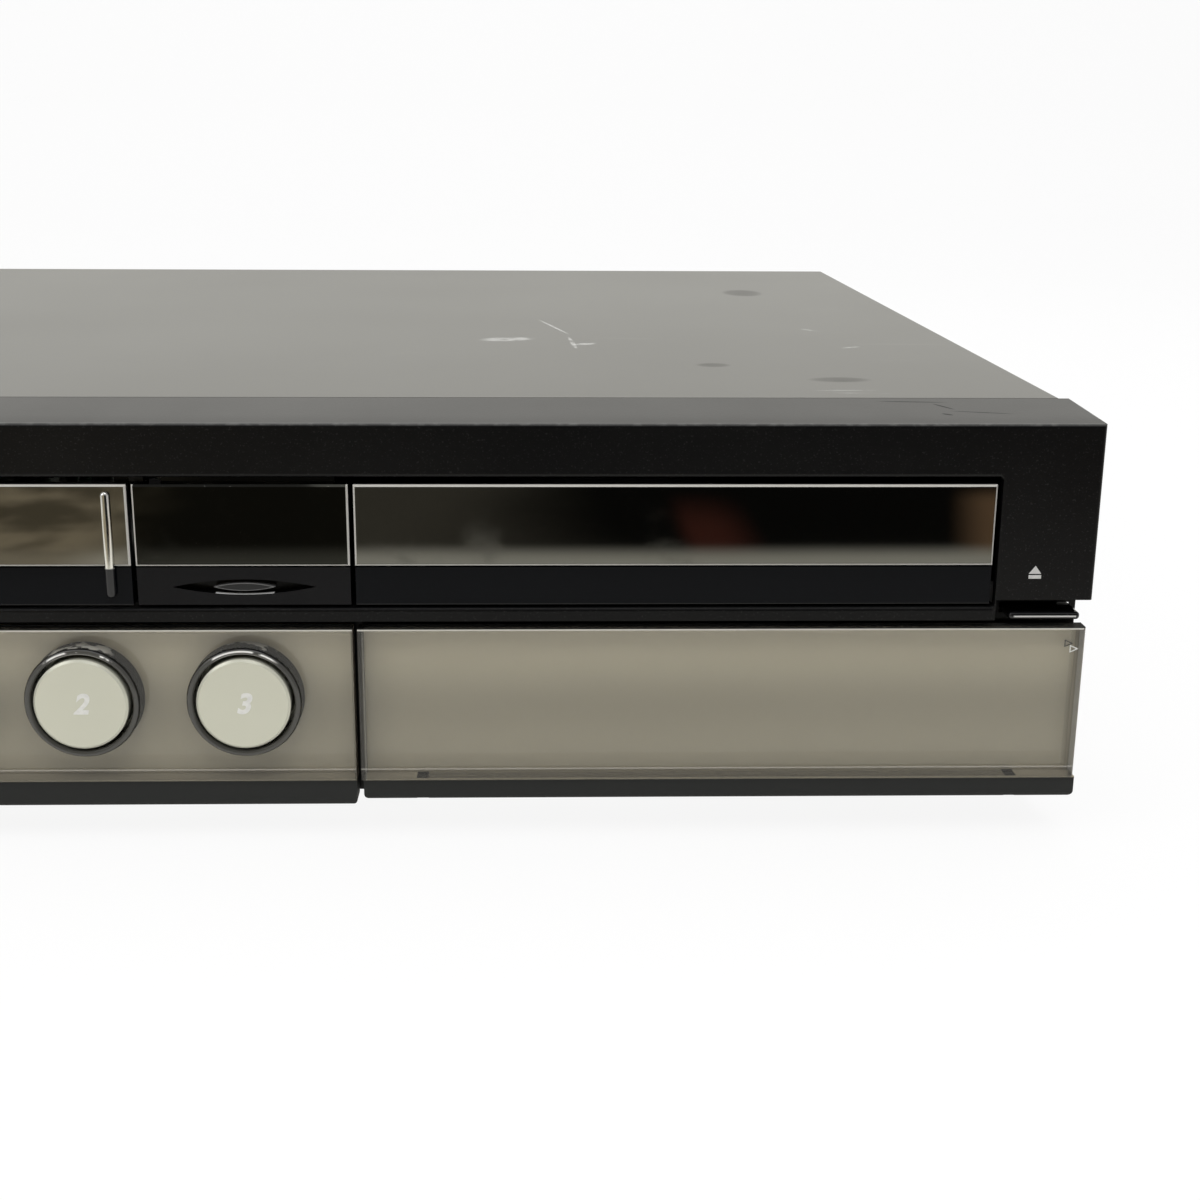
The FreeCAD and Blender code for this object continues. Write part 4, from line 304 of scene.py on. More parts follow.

# %% [markdown]
# ## Polished black strips and keys
# The strips under the windows and the two long keys are black and polished, so most of what they show is
# the room. Two thin lines give them their edges: a rubbed grey one along the foot of each strip, and a
# painted white highlight along each key, where its rounded edge would send back the light.

# %% Polished black
def strip_plastic():
    look = Finish("strip_black")
    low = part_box("tray_door")[0].z
    rubbed = 1 - look.between(look.z, low + 0.12 * MM, low + 0.2 * MM)
    colour = look.blend(rubbed, (0.003, 0.0034, 0.0045), (0.028, 0.028, 0.028))
    rough = 0.10 + rubbed * 0.2 + look.noise(24, 4) * 0.04
    return look.done(look.solid({"Base Color": colour, "Roughness": rough, "Specular IOR Level": 0.08}))


def key_plastic():
    look = Finish("key_gloss")
    corner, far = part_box("tray_button")
    middle = (corner.z + far.z) / 2 - 0.04 * MM
    # A painted white highlight along the middle of each key's face, where its rounded edge would catch
    # light.
    painted_highlight = 1 - look.between((look.z - middle).size(), 0.14 * MM, 0.22 * MM)
    painted_highlight = painted_highlight * (look.y < corner.y + 0.4 * MM)
    ends = look.between(look.x.size() - corner.x, 0.9 * MM, 1.4 * MM) * (look.x.size() < far.x - 0.9 * MM)
    shade = look.blend(painted_highlight * ends * 0.9, (0.004, 0.004, 0.0045), (0.62, 0.62, 0.60))
    return look.done(look.solid({"Base Color": shade, "Roughness": 0.09 + look.noise(60) * 0.05,
                                 "Specular IOR Level": 0.5}))


strip_black = strip_plastic()
key_gloss = key_plastic()

# %% [markdown]
# ## The smoked mirrors
# Each door carries a bevelled plate of smoked acrylic with a thin mirror coat. It sends back a seventh to a
# fifth of what falls on it, and the plate between the doors far less, in a slightly warm tone. So a dark
# metal with almost no roughness stands for it. The bevel all round would catch light from above, so a paler
# line is painted along the outline as a highlight. Behind the bevel the plate's cut edges have no coat and
# stay dark. Finger smears change only the roughness, as they do on the real thing. The plate between the
# doors goes on below its mirror as plain polished black, with a hollow for the lamp. Painted shade fills
# that hollow, and a painted white glint lies on its floor below the lamp.

# %% Smoked mirror
CENTRE_MIRROR_FOOT = 63.85 * MM


def paint_hollow_shade_and_glint(look, colour):
    """Painted shade fills the lamp's hollow with near black, and a painted white glint lies on its floor.
    """
    corner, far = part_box("indicator_lamp")
    inside = look.between(look.y, front + 0.62 * MM, front + 0.68 * MM) * (look.y < front + 3.1 * MM)
    aside = (look.x - (corner.x + far.x) / 2).size()
    glint_place = (look.z < corner.z) * (look.y < front + 1.9 * MM)
    glint_place = glint_place * (1 - look.between(aside, 6.2 * MM, 6.4 * MM))
    shaded_hollow = look.blend(inside, colour, (0.0012, 0.0012, 0.0014))
    return look.blend(inside * glint_place, shaded_hollow, (0.75, 0.75, 0.74))


def smoked_mirror(name, node, coat, low=None):
    """A mirror plate. Where low is given, the mirror ends there and plain polished black goes on below."""
    look = Finish(name)
    corner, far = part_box(node)
    base = low or corner.z
    nearest = look.lesser(look.x - corner.x, far.x - look.x, look.z - base, far.z - look.z)
    # A paler line is painted along the outline as a highlight, for the light the bevel would catch from
    # above.
    outline = 1 - look.between(nearest, 0.34 * MM, 0.46 * MM)
    behind = look.between(look.y, front + 0.52 * MM, front + 0.60 * MM)
    coated = look.between(look.z, base - 0.1 * MM, base) * (1 - behind)
    smear = look.between(look.noise(55, 6), 0.56, 0.74)
    dust = look.between(look.noise(2400, 1), 0.74, 0.80)
    tint = look.blend(dust * 0.5, coat, (0.34, 0.33, 0.30))
    bevel_highlighted = look.blend(outline, tint, (0.56, 0.55, 0.51))
    colour = look.blend(coated, (0.005, 0.005, 0.006), bevel_highlighted)
    # Below its mirror, the centre plate gets painted shade in the lamp's hollow and a painted glint.
    if low:
        colour = paint_hollow_shade_and_glint(look, colour)
    rough = 0.03 + smear * 0.08 + outline * 0.3
    return look.done(look.solid({"Base Color": colour, "Metallic": coated * (1 - outline),
                                 "Roughness": rough, "Specular IOR Level": 0.16}))


tray_mirror = smoked_mirror("tray_mirror", "tray_window", (0.138, 0.135, 0.122))
cassette_mirror = smoked_mirror("cassette_mirror", "cassette_window", (0.19, 0.182, 0.162))
centre_mirror = smoked_mirror("centre_mirror", "centre_panel", (0.022, 0.022, 0.019), CENTRE_MIRROR_FOOT)

# %% [markdown]
# ## Clear acrylic
# The lower front is a clear plate 4.4 mm thick in front of a silver-painted panel. Real refraction would
# cost much time and would keep the lamps' light from reaching the silver. A plate with flat faces hardly
# bends the view, so it is a mix of plain transparency and a clear gloss. The gloss takes 4 % face on and
# grows with the fifth power of the slant, the same on either side of a face. The Fresnel node would turn
# the plate's back into a full mirror past 42 degrees, as the path inside isn't bent here.
#
# Only the cut edges need more, and they are painted in as light and shade. Low on the face one looks down
# onto the plate's floor, so a band of painted shade lies there under a painted bright line. The polished
# top edge shows as a painted highlight hairline, and both ends carry painted dim bands with a bright line
# beside each. The round holes for the buttons have walls painted dark, with painted white highlight
# streaks at the top.

# %% Parts of the clear plate
button_axes = []
for cap in ("round_button_left", "round_button_middle", "round_button_right"):
    corner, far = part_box(cap)
    button_axes.append(Vector(((corner.x + far.x) / 2, 0, (corner.z + far.z) / 2)))
ring_low, ring_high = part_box("button_rings")
ring_outer = (ring_high.z - ring_low.z) / 2
print(len(button_axes), "round buttons, with rings", round(2 * ring_outer / MM, 1), "mm across")


def see_through(look):
    """Plain transparency and a clear gloss, shared by how slanted the face is seen."""
    slant = look.node("LayerWeight", values={"Blend": 0.5}, out="Facing")
    smear = look.between(look.noise(30, 5), 0.55, 0.75)
    gloss = look.node("BsdfGlossy", values={"Color": (1, 1, 1, 1), "Roughness": 0.03 + smear * 0.06})
    clear = look.node("BsdfTransparent", values={"Color": (0.95, 0.955, 0.95, 1)})
    return look.mixed(slant.power(5.0) * 0.96 + 0.04, clear, gloss)


def painted_end_shade(look, from_left, from_right, left_end, right_end):
    """Painted shade in a band at each end and at the very edge, and a painted bright line beside each band.
    """
    bands, lines, edges = 0, 0, 0
    for inward, (wide, shade, line) in ((from_left, left_end), (from_right, right_end)):
        bands = (1 - look.between(inward, (wide - 0.1) * MM, wide * MM)) * shade + bands
        rise = look.between(inward, (wide - 0.05) * MM, wide * MM)
        lines = rise * (inward < (wide + 0.2) * MM) * line + lines
        edges = (1 - look.between(inward, 0.2 * MM, 0.4 * MM)) * shade + edges
    return bands + edges, lines


def around(look, axes):
    """How far a point is from the nearest of some axes along y, and how high above them it lies."""
    rise = look.z - axes[0].z
    aside = look.lesser(*((look.x - axis.x).size() for axis in axes))
    return (aside * aside + rise * rise).power(0.5), rise


def hole_walls(look, hole):
    """Where the walls of the round holes are, and the painted white highlight streaks near their tops."""
    reach, rise = around(look, button_axes)
    wall = 1 - look.between(reach, hole + 0.08 * MM, hole + 0.18 * MM)
    streak = look.between(look.noise(210, 2), 0.50, 0.58) * look.between(rise, 10 * MM, 11.5 * MM)
    return wall, wall * streak

# %% [markdown]
# The plate itself is a stack. The see-through body comes first, and each cut edge is laid over it where
# it shows: ends painted silvery for the silver seen through them, painted dim bands of shade, the matt
# ledge on top painted dark, the holes, and last of all every painted bright line.

# %% Clear plates
FLOOR_THICK = 2.6 * MM
FLOOR_HIGHLIGHT_WIDE = 0.25 * MM


def painted_edge_shaders(look):
    """Painted tones for the edges: silvery ends, shaded bands, dark matt ledge and holes, pale highlights.
    """
    shaders = []
    for shade, roughness, specular in (((0.30, 0.27, 0.205), 0.35, 0.2), ((0.040, 0.038, 0.034), 0.2, 0.25),
                                       ((0.022, 0.022, 0.021), 0.5, 0.0), ((0.62, 0.60, 0.54), 0.3, 0.5)):
        shaders.append(look.solid({"Base Color": (*shade, 1), "Roughness": roughness,
                                   "Specular IOR Level": specular}))
    return shaders


def clear_acrylic(name, node, left_end, right_end, hole=0.0):
    """A clear plate; each end gives its band's width in mm, its painted shade and its painted highlight."""
    look = Finish(name)
    low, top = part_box(node)
    face = 1 - look.between(look.y, front + 0.1 * MM, front + 0.2 * MM)
    above_floor = look.between(look.z, low.z + FLOOR_THICK - 0.2 * MM, low.z + FLOOR_THICK)
    floor_highlight = above_floor * (look.z < low.z + FLOOR_THICK + FLOOR_HIGHLIGHT_WIDE) * face
    # A painted highlight hairline along the polished top edge of the face.
    hairline = look.between(look.z, top.z - 0.36 * MM, top.z - 0.22 * MM) * face
    from_left, from_right = look.x - low.x, top.x - look.x
    painted_dimness, end_highlights = painted_end_shade(look, from_left, from_right, left_end, right_end)
    # Painted shade: a darker band low on the face, over the plate's floor, joins the end bands.
    painted_dimness = look.lesser((1 - above_floor) * face * 0.3 + painted_dimness, 0.94)
    to_end = look.lesser(from_left, from_right)
    # The cut ends are painted silvery, for the silver panel seen through them.
    cut_end = 1 - look.between(to_end, 0.02 * MM, 0.05 * MM)
    past_panel = (1 - look.between(to_end, 0.8 * MM, 0.9 * MM)) * (look.y > top.y - 0.05 * MM)
    # The ledge on top is painted dark and matt, standing in for the black bezel it would reflect.
    ledge = look.between(look.z, top.z - 0.12 * MM, top.z - 0.06 * MM)
    lines = hairline * 0.95 + floor_highlight * 0.34 + end_highlights * face

    silvery, dim, matt, pale = painted_edge_shaders(look)
    plate = look.mixed(look.lesser(cut_end * 0.9 + past_panel, 1.0), see_through(look), silvery)
    plate = look.mixed(painted_dimness, plate, dim)
    plate = look.mixed(ledge * 0.92, plate, matt)
    if hole:
        wall, streaks = hole_walls(look, hole)
        # The hole walls are painted dark as shade, and painted white highlight streaks lie near their tops.
        plate = look.mixed(wall * 0.72, plate, matt)
        lines = streaks * 0.8 + lines
    return look.done(look.mixed(look.lesser(lines, 1.0), plate, pale))


display_acrylic = clear_acrylic("display_acrylic", "display_lens", (1.9, 0.10, 0.05), (0.25, 0.10, 0.0),
                                ring_outer)
door_acrylic = clear_acrylic("door_acrylic", "lower_door_lens", (1.0, 0.42, 0.16), (1.9, 0.09, 0.0))

# %% [markdown]
# ## Silver paint
# The panel behind the clear plate is sprayed with a warm silver of very fine flakes. The bezel shades its
# top and the clear plate's floor dims its foot, so the paint is mixed lighter at both. Below the clear
# plate the same part is a dark bar.

# %% Silver panel with its dark bar
FOOT_FADE = (14 * MM, 30 * MM)
HEAD_FADE = (30 * MM, 46 * MM)
BAR_TOP = (13.9 * MM, 14.3 * MM)


def silver_paint():
    look = Finish("silver_paint")
    flake = look.noise(5200, 1)
    haze = look.noise(7, 3)
    middle = look.blend(look.between(haze, 0.3, 0.7), (0.296, 0.262, 0.190), (0.316, 0.280, 0.206))
    lower = look.blend(look.between(look.z, *FOOT_FADE), (0.40, 0.355, 0.265), middle)
    colour = look.blend(look.between(look.z, *HEAD_FADE), lower, (0.53, 0.47, 0.35))
    bar = 1 - look.between(look.z, *BAR_TOP)
    return look.done(look.solid({"Base Color": look.blend(bar, colour, (0.027, 0.028, 0.027)),
                                 "Metallic": 0.14 * (1 - bar), "Roughness": 0.5 + bar * 0.15,
                                 "Specular IOR Level": 0.13, "Normal": look.bump(flake, 0.00002, 0.5)}))


silver = silver_paint()

# %% [markdown]
# ## Metals and boards
# Bare zinc-plated steel, a machined aluminium drum and the green boards are mostly hidden, but a hand
# that opens a door sees them. Each gets its own grain: long brushing for steel, turning rings for the
# drum.

# %% Metals and boards
BRASS = (0.75, 0.58, 0.28)
BOARD_TOP = (19.8 * MM, 20.2 * MM)


def brushed(name, shade, roughness, stretch=(1, 60, 1)):
    look = Finish(name)
    lines = look.noise(60, 4, look.node("Mapping", values={"Vector": look.place, "Scale": stretch}))
    cloud = look.noise(12, 4)
    darker = tuple(part * 0.75 for part in shade)
    return look.done(look.solid({"Base Color": look.blend(cloud * 0.5, shade, darker), "Metallic": 1.0,
                                 "Roughness": roughness + (lines - 0.5) * 0.25,
                                 "Normal": look.bump(lines, 0.00003, 0.3)}))


def circuit_board():
    """Green tracks, with plain black for all that stands on the board."""
    look = Finish("circuit_board")
    tracks = look.node("TexBrick", {"offset": 0.35}, {
        "Vector": look.place, "Scale": 320, "Mortar": (0.03, 0.18, 0.07, 1), "Mortar Size": 0.03,
        "Color1": (0.012, 0.10, 0.035, 1), "Color2": (0.016, 0.125, 0.045, 1)})
    tall = look.between(look.z, *BOARD_TOP)
    return look.done(look.solid({"Base Color": look.blend(tall, tracks, (0.02, 0.02, 0.02)),
                                 "Roughness": 0.35 + look.noise(60, 2) * 0.2}))


bare_steel = brushed("bare_steel", (0.55, 0.55, 0.54), 0.38)
turned_drum = brushed("turned_drum", (0.80, 0.80, 0.79), 0.2, (1, 1, 90))
warm_brass = brushed("warm_brass", BRASS, 0.28)
cast_case = brushed("cast_case", (0.42, 0.42, 0.43), 0.5, (1, 1, 1))
board_green = circuit_board()

# %% [markdown]
# ## Colours in the rear sockets
# Each rear socket is a brass sleeve round an insulating ring. The ring's colour tells sound from picture:
# red, white or yellow, one colour to a row. The rings are found by their distance from the sockets'
# middles.

# %% Rear sockets
SOCKET_COLUMNS = (10.75, 32.25, 53.75)
SOCKET_ROWS = (27.25, 40.85, 54.45)
RED_TO_WHITE = (33 * MM, 34 * MM)
WHITE_TO_YELLOW = (47 * MM, 48 * MM)


def socket_brass():
    look = Finish("socket_brass")
    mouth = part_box("av_sockets")[1].y
    aside = look.lesser(*((look.x - column * MM).size() for column in SOCKET_COLUMNS))
    rise = look.lesser(*((look.z - row * MM).size() for row in SOCKET_ROWS))
    reach = (aside * aside + rise * rise).power(0.5)
    ring = 1 - look.between(reach, 3.1 * MM, 3.2 * MM)
    ring = ring * look.between(look.y, mouth - 0.2 * MM, mouth - 0.1 * MM)
    lower = look.blend(look.between(look.z, *RED_TO_WHITE), (0.42, 0.012, 0.012), (0.62, 0.62, 0.60))
    shade = look.blend(look.between(look.z, *WHITE_TO_YELLOW), lower, (0.70, 0.48, 0.02))
    return look.done(look.solid({"Base Color": look.blend(ring, BRASS, shade), "Metallic": 1 - ring,
                                 "Roughness": 0.28 + look.noise(60, 4) * 0.08}))


socket_gold = socket_brass()

# %% [markdown]
# ## The lamp's lens
# The lamp between the doors is a dark dome shaped like an eye, with a thin grey outline. An eye is where
# two equal wheels overlap, so the outline is where the nearer of the two rims lies close.

# %% Lamp lens
def lamp_lens():
    look = Finish("lamp_dark")
    corner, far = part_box("indicator_lamp")
    wide, high = far.x - corner.x, far.z - corner.z
    radius = (wide * wide + high * high) / (4 * high)
    aside = look.x - (corner.x + far.x) / 2
    inside = []
    for centre in (far.z - radius, corner.z + radius):
        rise = look.z - centre
        inside.append(radius - (aside * aside + rise * rise).power(0.5))
    rim = 1 - look.between(look.lesser(*inside), 0.08 * MM, 0.18 * MM)
    colour = look.blend(rim, (0.004, 0.0042, 0.005), (0.13, 0.13, 0.13))
    return look.done(look.solid({"Base Color": colour, "Roughness": 0.10 + look.noise(300) * 0.04,
                                 "Specular IOR Level": 0.35}))


lamp_dark = lamp_lens()

# %% [markdown]
# ## Dress the ready pieces
# Each ready piece keeps its shape, and only the material in its slot changes.

# %% Hand out the finishes
finishes = {
    "top_cover": cover_paint, "front_bezel": bezel_black, "chassis_base": bare_steel,
    "rear_panel": bare_steel, "centre_panel": centre_mirror, "indicator_lamp": lamp_dark,
    "cassette_door": strip_black, "cassette_window": cassette_mirror, "door_spring": bare_steel,
    "tray_door": strip_black, "tray_window": tray_mirror, "display_panel": silver,
    "display_lens": display_acrylic, "lower_door": silver, "lower_door_lens": door_acrylic,
    "button_rings": inner_black, "round_button_left": cap_silver, "round_button_middle": cap_silver,
    "round_button_right": cap_silver, "power_button": cap_silver, "tray_button": key_gloss,
    "eject_button": key_gloss, "display_tube": tube_glass, "front_board": board_green,
    "jack_plate": inner_black, "front_jacks": warm_brass, "channel_up_button": inner_black,
    "channel_down_button": inner_black, "feet": rubber_black, "case_screws": bare_steel,
    "av_sockets": socket_gold, "aerial_block": bare_steel, "digital_sockets": bare_steel,
    "mains_inlet": inner_black, "fan_frame": inner_black, "fan_rotor": inner_black,
    "main_board": board_green, "power_board": board_green, "hard_disk": cast_case,
    "deck_plate": bare_steel, "holder_carriage": bare_steel, "cassette_holder": bare_steel,
    "drum_base": turned_drum, "drum_head": turned_drum, "capstan": bare_steel, "pinch_arm": rubber_black,
    "supply_reel": inner_black, "takeup_reel": inner_black, "drive_frame": inner_black,
    "clamp_bridge": bare_steel, "disc_clamp": inner_black, "disc_tray": inner_black,
    "tray_gear": pale_nylon, "motor_pinion": pale_nylon, "loading_motor": bare_steel,
    "traverse_plate": inner_black, "turntable": inner_black, "pickup": inner_black,
    "guide_rods": bare_steel,
}
for name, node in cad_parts.items():
    for slot in node.material_slots:
        slot.material = finishes[name]
print(len(finishes), "pieces dressed")

# %% [markdown]
# ## A helper for new pieces
# New pieces are shaped with bmesh, straight in their place on the unit, so their objects stay at the
# origin.

# %% Turn a bmesh into a piece
def stand(name, mesh, finish, smooth=True):
    """An object at the origin, made of the given bmesh and finish."""
    data = bpy.data.meshes.new(name)
    mesh.to_mesh(data)
    mesh.free()
    made = bpy.data.objects.new(name, data)
    bpy.context.scene.collection.objects.link(made)
    data.materials.append(finish)
    if smooth:
        data.shade_smooth()
    return made


def piece(name, mesh, finish, body, smooth=True):
    """A new piece of the object, which moves with a body."""
    bmesh.ops.recalc_face_normals(mesh, faces=mesh.faces)
    made = stand(name, mesh, finish, smooth)
    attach(made, body)
    print(name, "has", len(made.data.polygons), "faces and rides on", body)
    return made

# %% [markdown]
# ## The raised rib on the cassette window
# A slim half-round rib stands on the window near each end. A capsule is a ball whose top half is pulled
# up, and a plane through its middle leaves the half that shows.

# %% Half-round ribs
MIRROR_FOOT = (63.4 * MM, 63.8 * MM)
RIB_WIDE = 2.1 * MM
RIB_HIGH = 23.5 * MM
RIB_MIDDLE = 68.7 * MM
RIB_FROM_END = 4.4 * MM


def capsule(middle, across, long):
    mesh = bmesh.new()
    bmesh.ops.create_uvsphere(mesh, u_segments=32, v_segments=16, radius=across / 2)
    upper = [corner for corner in mesh.verts if corner.co.z > 1e-6]
    bmesh.ops.translate(mesh, verts=upper, vec=(0, 0, long - across))
    whole = list(mesh.verts) + list(mesh.edges) + list(mesh.faces)
    cut = bmesh.ops.bisect_plane(mesh, geom=whole, plane_co=(0, 0.2 * MM, 0), plane_no=(0, 1, 0),
                                 clear_outer=True)
    rim = [edge for edge in cut["geom_cut"] if isinstance(edge, bmesh.types.BMEdge)]
    bmesh.ops.holes_fill(mesh, edges=rim, sides=0)
    bmesh.ops.translate(mesh, verts=mesh.verts, vec=Vector(middle) - Vector((0, 0, (long - across) / 2)))
    return mesh


def rib_finish():
    """Bright on the mirror, and black where the rib crosses the black strip below it."""
    look = Finish("rib_gloss")
    above = look.between(look.z, *MIRROR_FOOT)
    colour = look.blend(above, (0.008, 0.008, 0.009), (0.72, 0.71, 0.66))
    return look.done(look.solid({"Base Color": colour, "Metallic": above,
                                 "Roughness": 0.12 + look.noise(90) * 0.06}))


rib_gloss = rib_finish()
window_left, window_right = (corner.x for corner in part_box("cassette_window"))
for place, word in ((window_right - RIB_FROM_END, "right"), (window_left + RIB_FROM_END, "left")):
    rib = capsule((place, front - 0.1 * MM, RIB_MIDDLE), RIB_WIDE, RIB_HIGH)
    piece("window_rib_" + word, rib, rib_gloss, "cassette_flap")

# %% [markdown]
# ## Clear collars round the buttons
# A thin ring of clear plastic stands out round each round button. Its lip is rounded, so it is turned on a
# lathe here: a half-round profile, spun once round the button's own axis. The bright arcs at the top of
# each ring, where the rounded lip would catch the light, are painted highlights, and its dark outline is
# painted shade.

# %% Spin the collars
COLLAR_THICK = 1.4 * MM
LIP_STEPS = 12
SPIN_STEPS = 96


def collar_finish(inner, outer):
    """Dark clear plastic, with a painted dark outline and painted highlight arcs near each lip's top."""
    look = Finish("clear_collar")
    reach, rise = around(look, button_axes)
    across = (reach - inner) * (1 / (outer - inner))
    # Painted highlights: two white arcs near the top of each lip, broken up by noise.
    over = 1 - look.between((rise - 0.93 * outer).size(), 0.10 * outer, 0.22 * outer)
    broken = look.between(look.noise(330, 2), 0.40, 0.47)
    arc_highlight = look.between(across, 0.42, 0.52) * (1 - look.between(across, 0.68, 0.78)) * over * broken
    second_highlight = look.between(across, 0.12, 0.16) * (1 - look.between(across, 0.22, 0.28)) * over * 0.4
    # Painted shade: a black outline round the outer edge of each collar.
    outline = look.between(across, 0.86, 0.93)
    colour = look.blend(outline, (0.060, 0.059, 0.053), (0.004, 0.004, 0.004))
    painted_highlight = look.blend(look.lesser(arc_highlight + second_highlight, 1.0), colour, (0.86, 0.86, 0.82))
    return look.done(look.solid({"Base Color": painted_highlight, "Roughness": 0.10 + look.noise(300) * 0.05,
                                 "Specular IOR Level": 0.5}))


ring_inner = ring_outer - COLLAR_THICK
lip = COLLAR_THICK / 2
profile = [(ring_inner, ring_high.y)]
for step in range(LIP_STEPS + 1):
    angle = math.pi * step / LIP_STEPS
    profile.append((ring_inner + lip - lip * math.cos(angle), ring_low.y + lip - lip * math.sin(angle)))
profile.append((ring_outer, ring_high.y))
collars = bmesh.new()
for axis in button_axes:
    corners = [collars.verts.new((axis.x + reach, y, axis.z)) for reach, y in profile]
    outline = [collars.edges.new(pair) for pair in zip(corners, corners[1:] + corners[:1])]
    bmesh.ops.spin(collars, geom=corners + outline, cent=axis, axis=(0, 1, 0), angle=math.tau,
                   steps=SPIN_STEPS, use_merge=True)
bmesh.ops.remove_doubles(collars, verts=collars.verts, dist=1e-6)
rings = piece("button_collars", collars, collar_finish(ring_inner, ring_outer), "case")
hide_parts("button_rings")
print("collars", round(ring_inner / MM, 2), "to", round(ring_outer / MM, 2), "mm in radius")

# %% [markdown]
# ## Printed signs
# Two small signs are printed on the front: the usual triangle over a bar beside each door, and an
# outlined arrowhead where the lower door is pulled. A dark twin of the arrowhead is painted on the silver
# behind the clear plate as its shadow. A sign is a flat face that is pulled out by a few hundredths of a
# millimetre, so it has a thickness but no step that can be seen.

# %% Signs
PRINT_THICK = 0.06 * MM
ARROW = [(200.45, 62.0), (203.2, 62.0), (201.85, 63.8)]
BAR = [(200.45, 60.9), (203.2, 60.9), (203.2, 61.7), (200.45, 61.7)]
PULL = [(210.9, 43.9), (212.8, 44.8), (210.9, 45.7)]
PULL_SHADE_SHIFT = (0.25, -0.16)
PULL_RIM = 0.2 * MM


def mark_finish(name, shade):
    look = Finish(name)
    worn = look.noise(900, 3)
    colour = look.blend(look.between(worn, 0.3, 0.8), shade, tuple(part * 0.86 for part in shade))
    return look.done(look.solid({"Base Color": colour, "Roughness": 0.4 + worn * 0.1}))


def sign(points, y, rim=0.0):
    """A flat sign with the given corners in x and z, or only its rim where one is given."""
    mesh = bmesh.new()
    face = mesh.faces.new([mesh.verts.new((x * MM, y, z * MM)) for x, z in points])
    if rim:
        face.normal_update()
        bmesh.ops.inset_individual(mesh, faces=[face], thickness=rim, use_even_offset=True)
        bmesh.ops.delete(mesh, geom=[face], context="FACES_ONLY")
    grown = bmesh.ops.extrude_face_region(mesh, geom=list(mesh.faces))
    moved = [item for item in grown["geom"] if isinstance(item, bmesh.types.BMVert)]
    bmesh.ops.translate(mesh, verts=moved, vec=(0, -PRINT_THICK, 0))
    return mesh


print_pale = mark_finish("print_pale", (0.62, 0.62, 0.60))
print_bright = mark_finish("print_bright", (0.80, 0.80, 0.76))
painted_sign_shadow = mark_finish("painted_sign_shadow", (0.10, 0.095, 0.085))
for side, word in ((1, "tray"), (-1, "cassette")):
    for part, points in (("_sign_arrow", ARROW), ("_sign_bar", BAR)):
        mesh = sign([(side * x, z) for x, z in points], front)
        piece(word + part, mesh, print_pale, "case", smooth=False)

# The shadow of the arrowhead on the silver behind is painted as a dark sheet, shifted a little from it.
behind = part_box("lower_door_lens")[1].y - 0.1 * MM
cast = [(x + PULL_SHADE_SHIFT[0], z + PULL_SHADE_SHIFT[1]) for x, z in PULL]
for name, points, y, finish in (("pull_sign", PULL, front, print_bright),
                                ("pull_sign_painted_shadow", cast, behind, painted_sign_shadow)):
    piece(name, sign(points, y, PULL_RIM), finish, "lower_flap", smooth=False)

# %% [markdown]
# ## Numbers on the caps
# Plain slanted numbers name the three round buttons. Blender's own font draws each one, and the drawing
# is turned into a mesh and moved onto its cap, so that it rides with the cap like any other piece.

# %% Numbers
NUMBER_HIGH = 6.4 * MM


def number_on_cap(word, node, body):
    text = bpy.data.curves.new("number_" + word, "FONT")
    text.body = word
    text.align_x = "CENTER"
    text.align_y = "CENTER"
    text.size = NUMBER_HIGH
    text.shear = 0.25
    text.offset = 0.22 * MM
    text.extrude = 0.04 * MM
    holder = bpy.data.objects.new("number_" + word, text)
    bpy.context.scene.collection.objects.link(holder)
    bpy.context.view_layer.update()
    data = bpy.data.meshes.new_from_object(holder)
    bpy.data.objects.remove(holder)
    low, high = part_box(node)
    middle = ((low.x + high.x) / 2, low.y, (low.z + high.z) / 2)
    data.transform(Matrix.Translation(middle) @ Matrix.Rotation(math.radians(90), 4, "X"))
    made = bpy.data.objects.new("number_" + word, data)
    bpy.context.scene.collection.objects.link(made)
    data.materials.clear()
    data.materials.append(print_bright)
    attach(made, body)
    heights = [corner.co.z for corner in data.vertices]
    print("number", word, "is", round((max(heights) - min(heights)) / MM, 1), "mm high")


for word, side in (("1", "left"), ("2", "middle"), ("3", "right")):
    number_on_cap(word, "round_button_" + side, side + "_button")

# %% [markdown]
# ## Table and wall
# A pale table sweeps up into a pale wall behind, so no horizon shows. The camera and every reflection see
# it as near white, and a small share of plain diffuse keeps the recorder's shadow on it.

# %% Table and wall
TABLE = [(-3.0, 0), (1.2, 0), (1.5, 0.04), (1.7, 0.18), (1.78, 0.45), (1.8, 2.6)]
TABLE_LEFT, TABLE_WIDE = -3.5, 7


def swept(profile, left, wide):
    """A sheet with the given outline in y and z, drawn out along x."""
    mesh = bmesh.new()
    corners = [mesh.verts.new((left, y, z)) for y, z in profile]
    edges = [mesh.edges.new(pair) for pair in zip(corners, corners[1:])]
    grown = bmesh.ops.extrude_edge_only(mesh, edges=edges)
    moved = [item for item in grown["geom"] if isinstance(item, bmesh.types.BMVert)]
    bmesh.ops.translate(mesh, verts=moved, vec=(wide, 0, 0))
    return mesh


def stage_piece(name, mesh, finish):
    """A sheet of the set round the object, which isn't part of it."""
    made = stand(name, mesh, finish)
    print(name, "has", len(made.data.polygons), "faces")
    return made


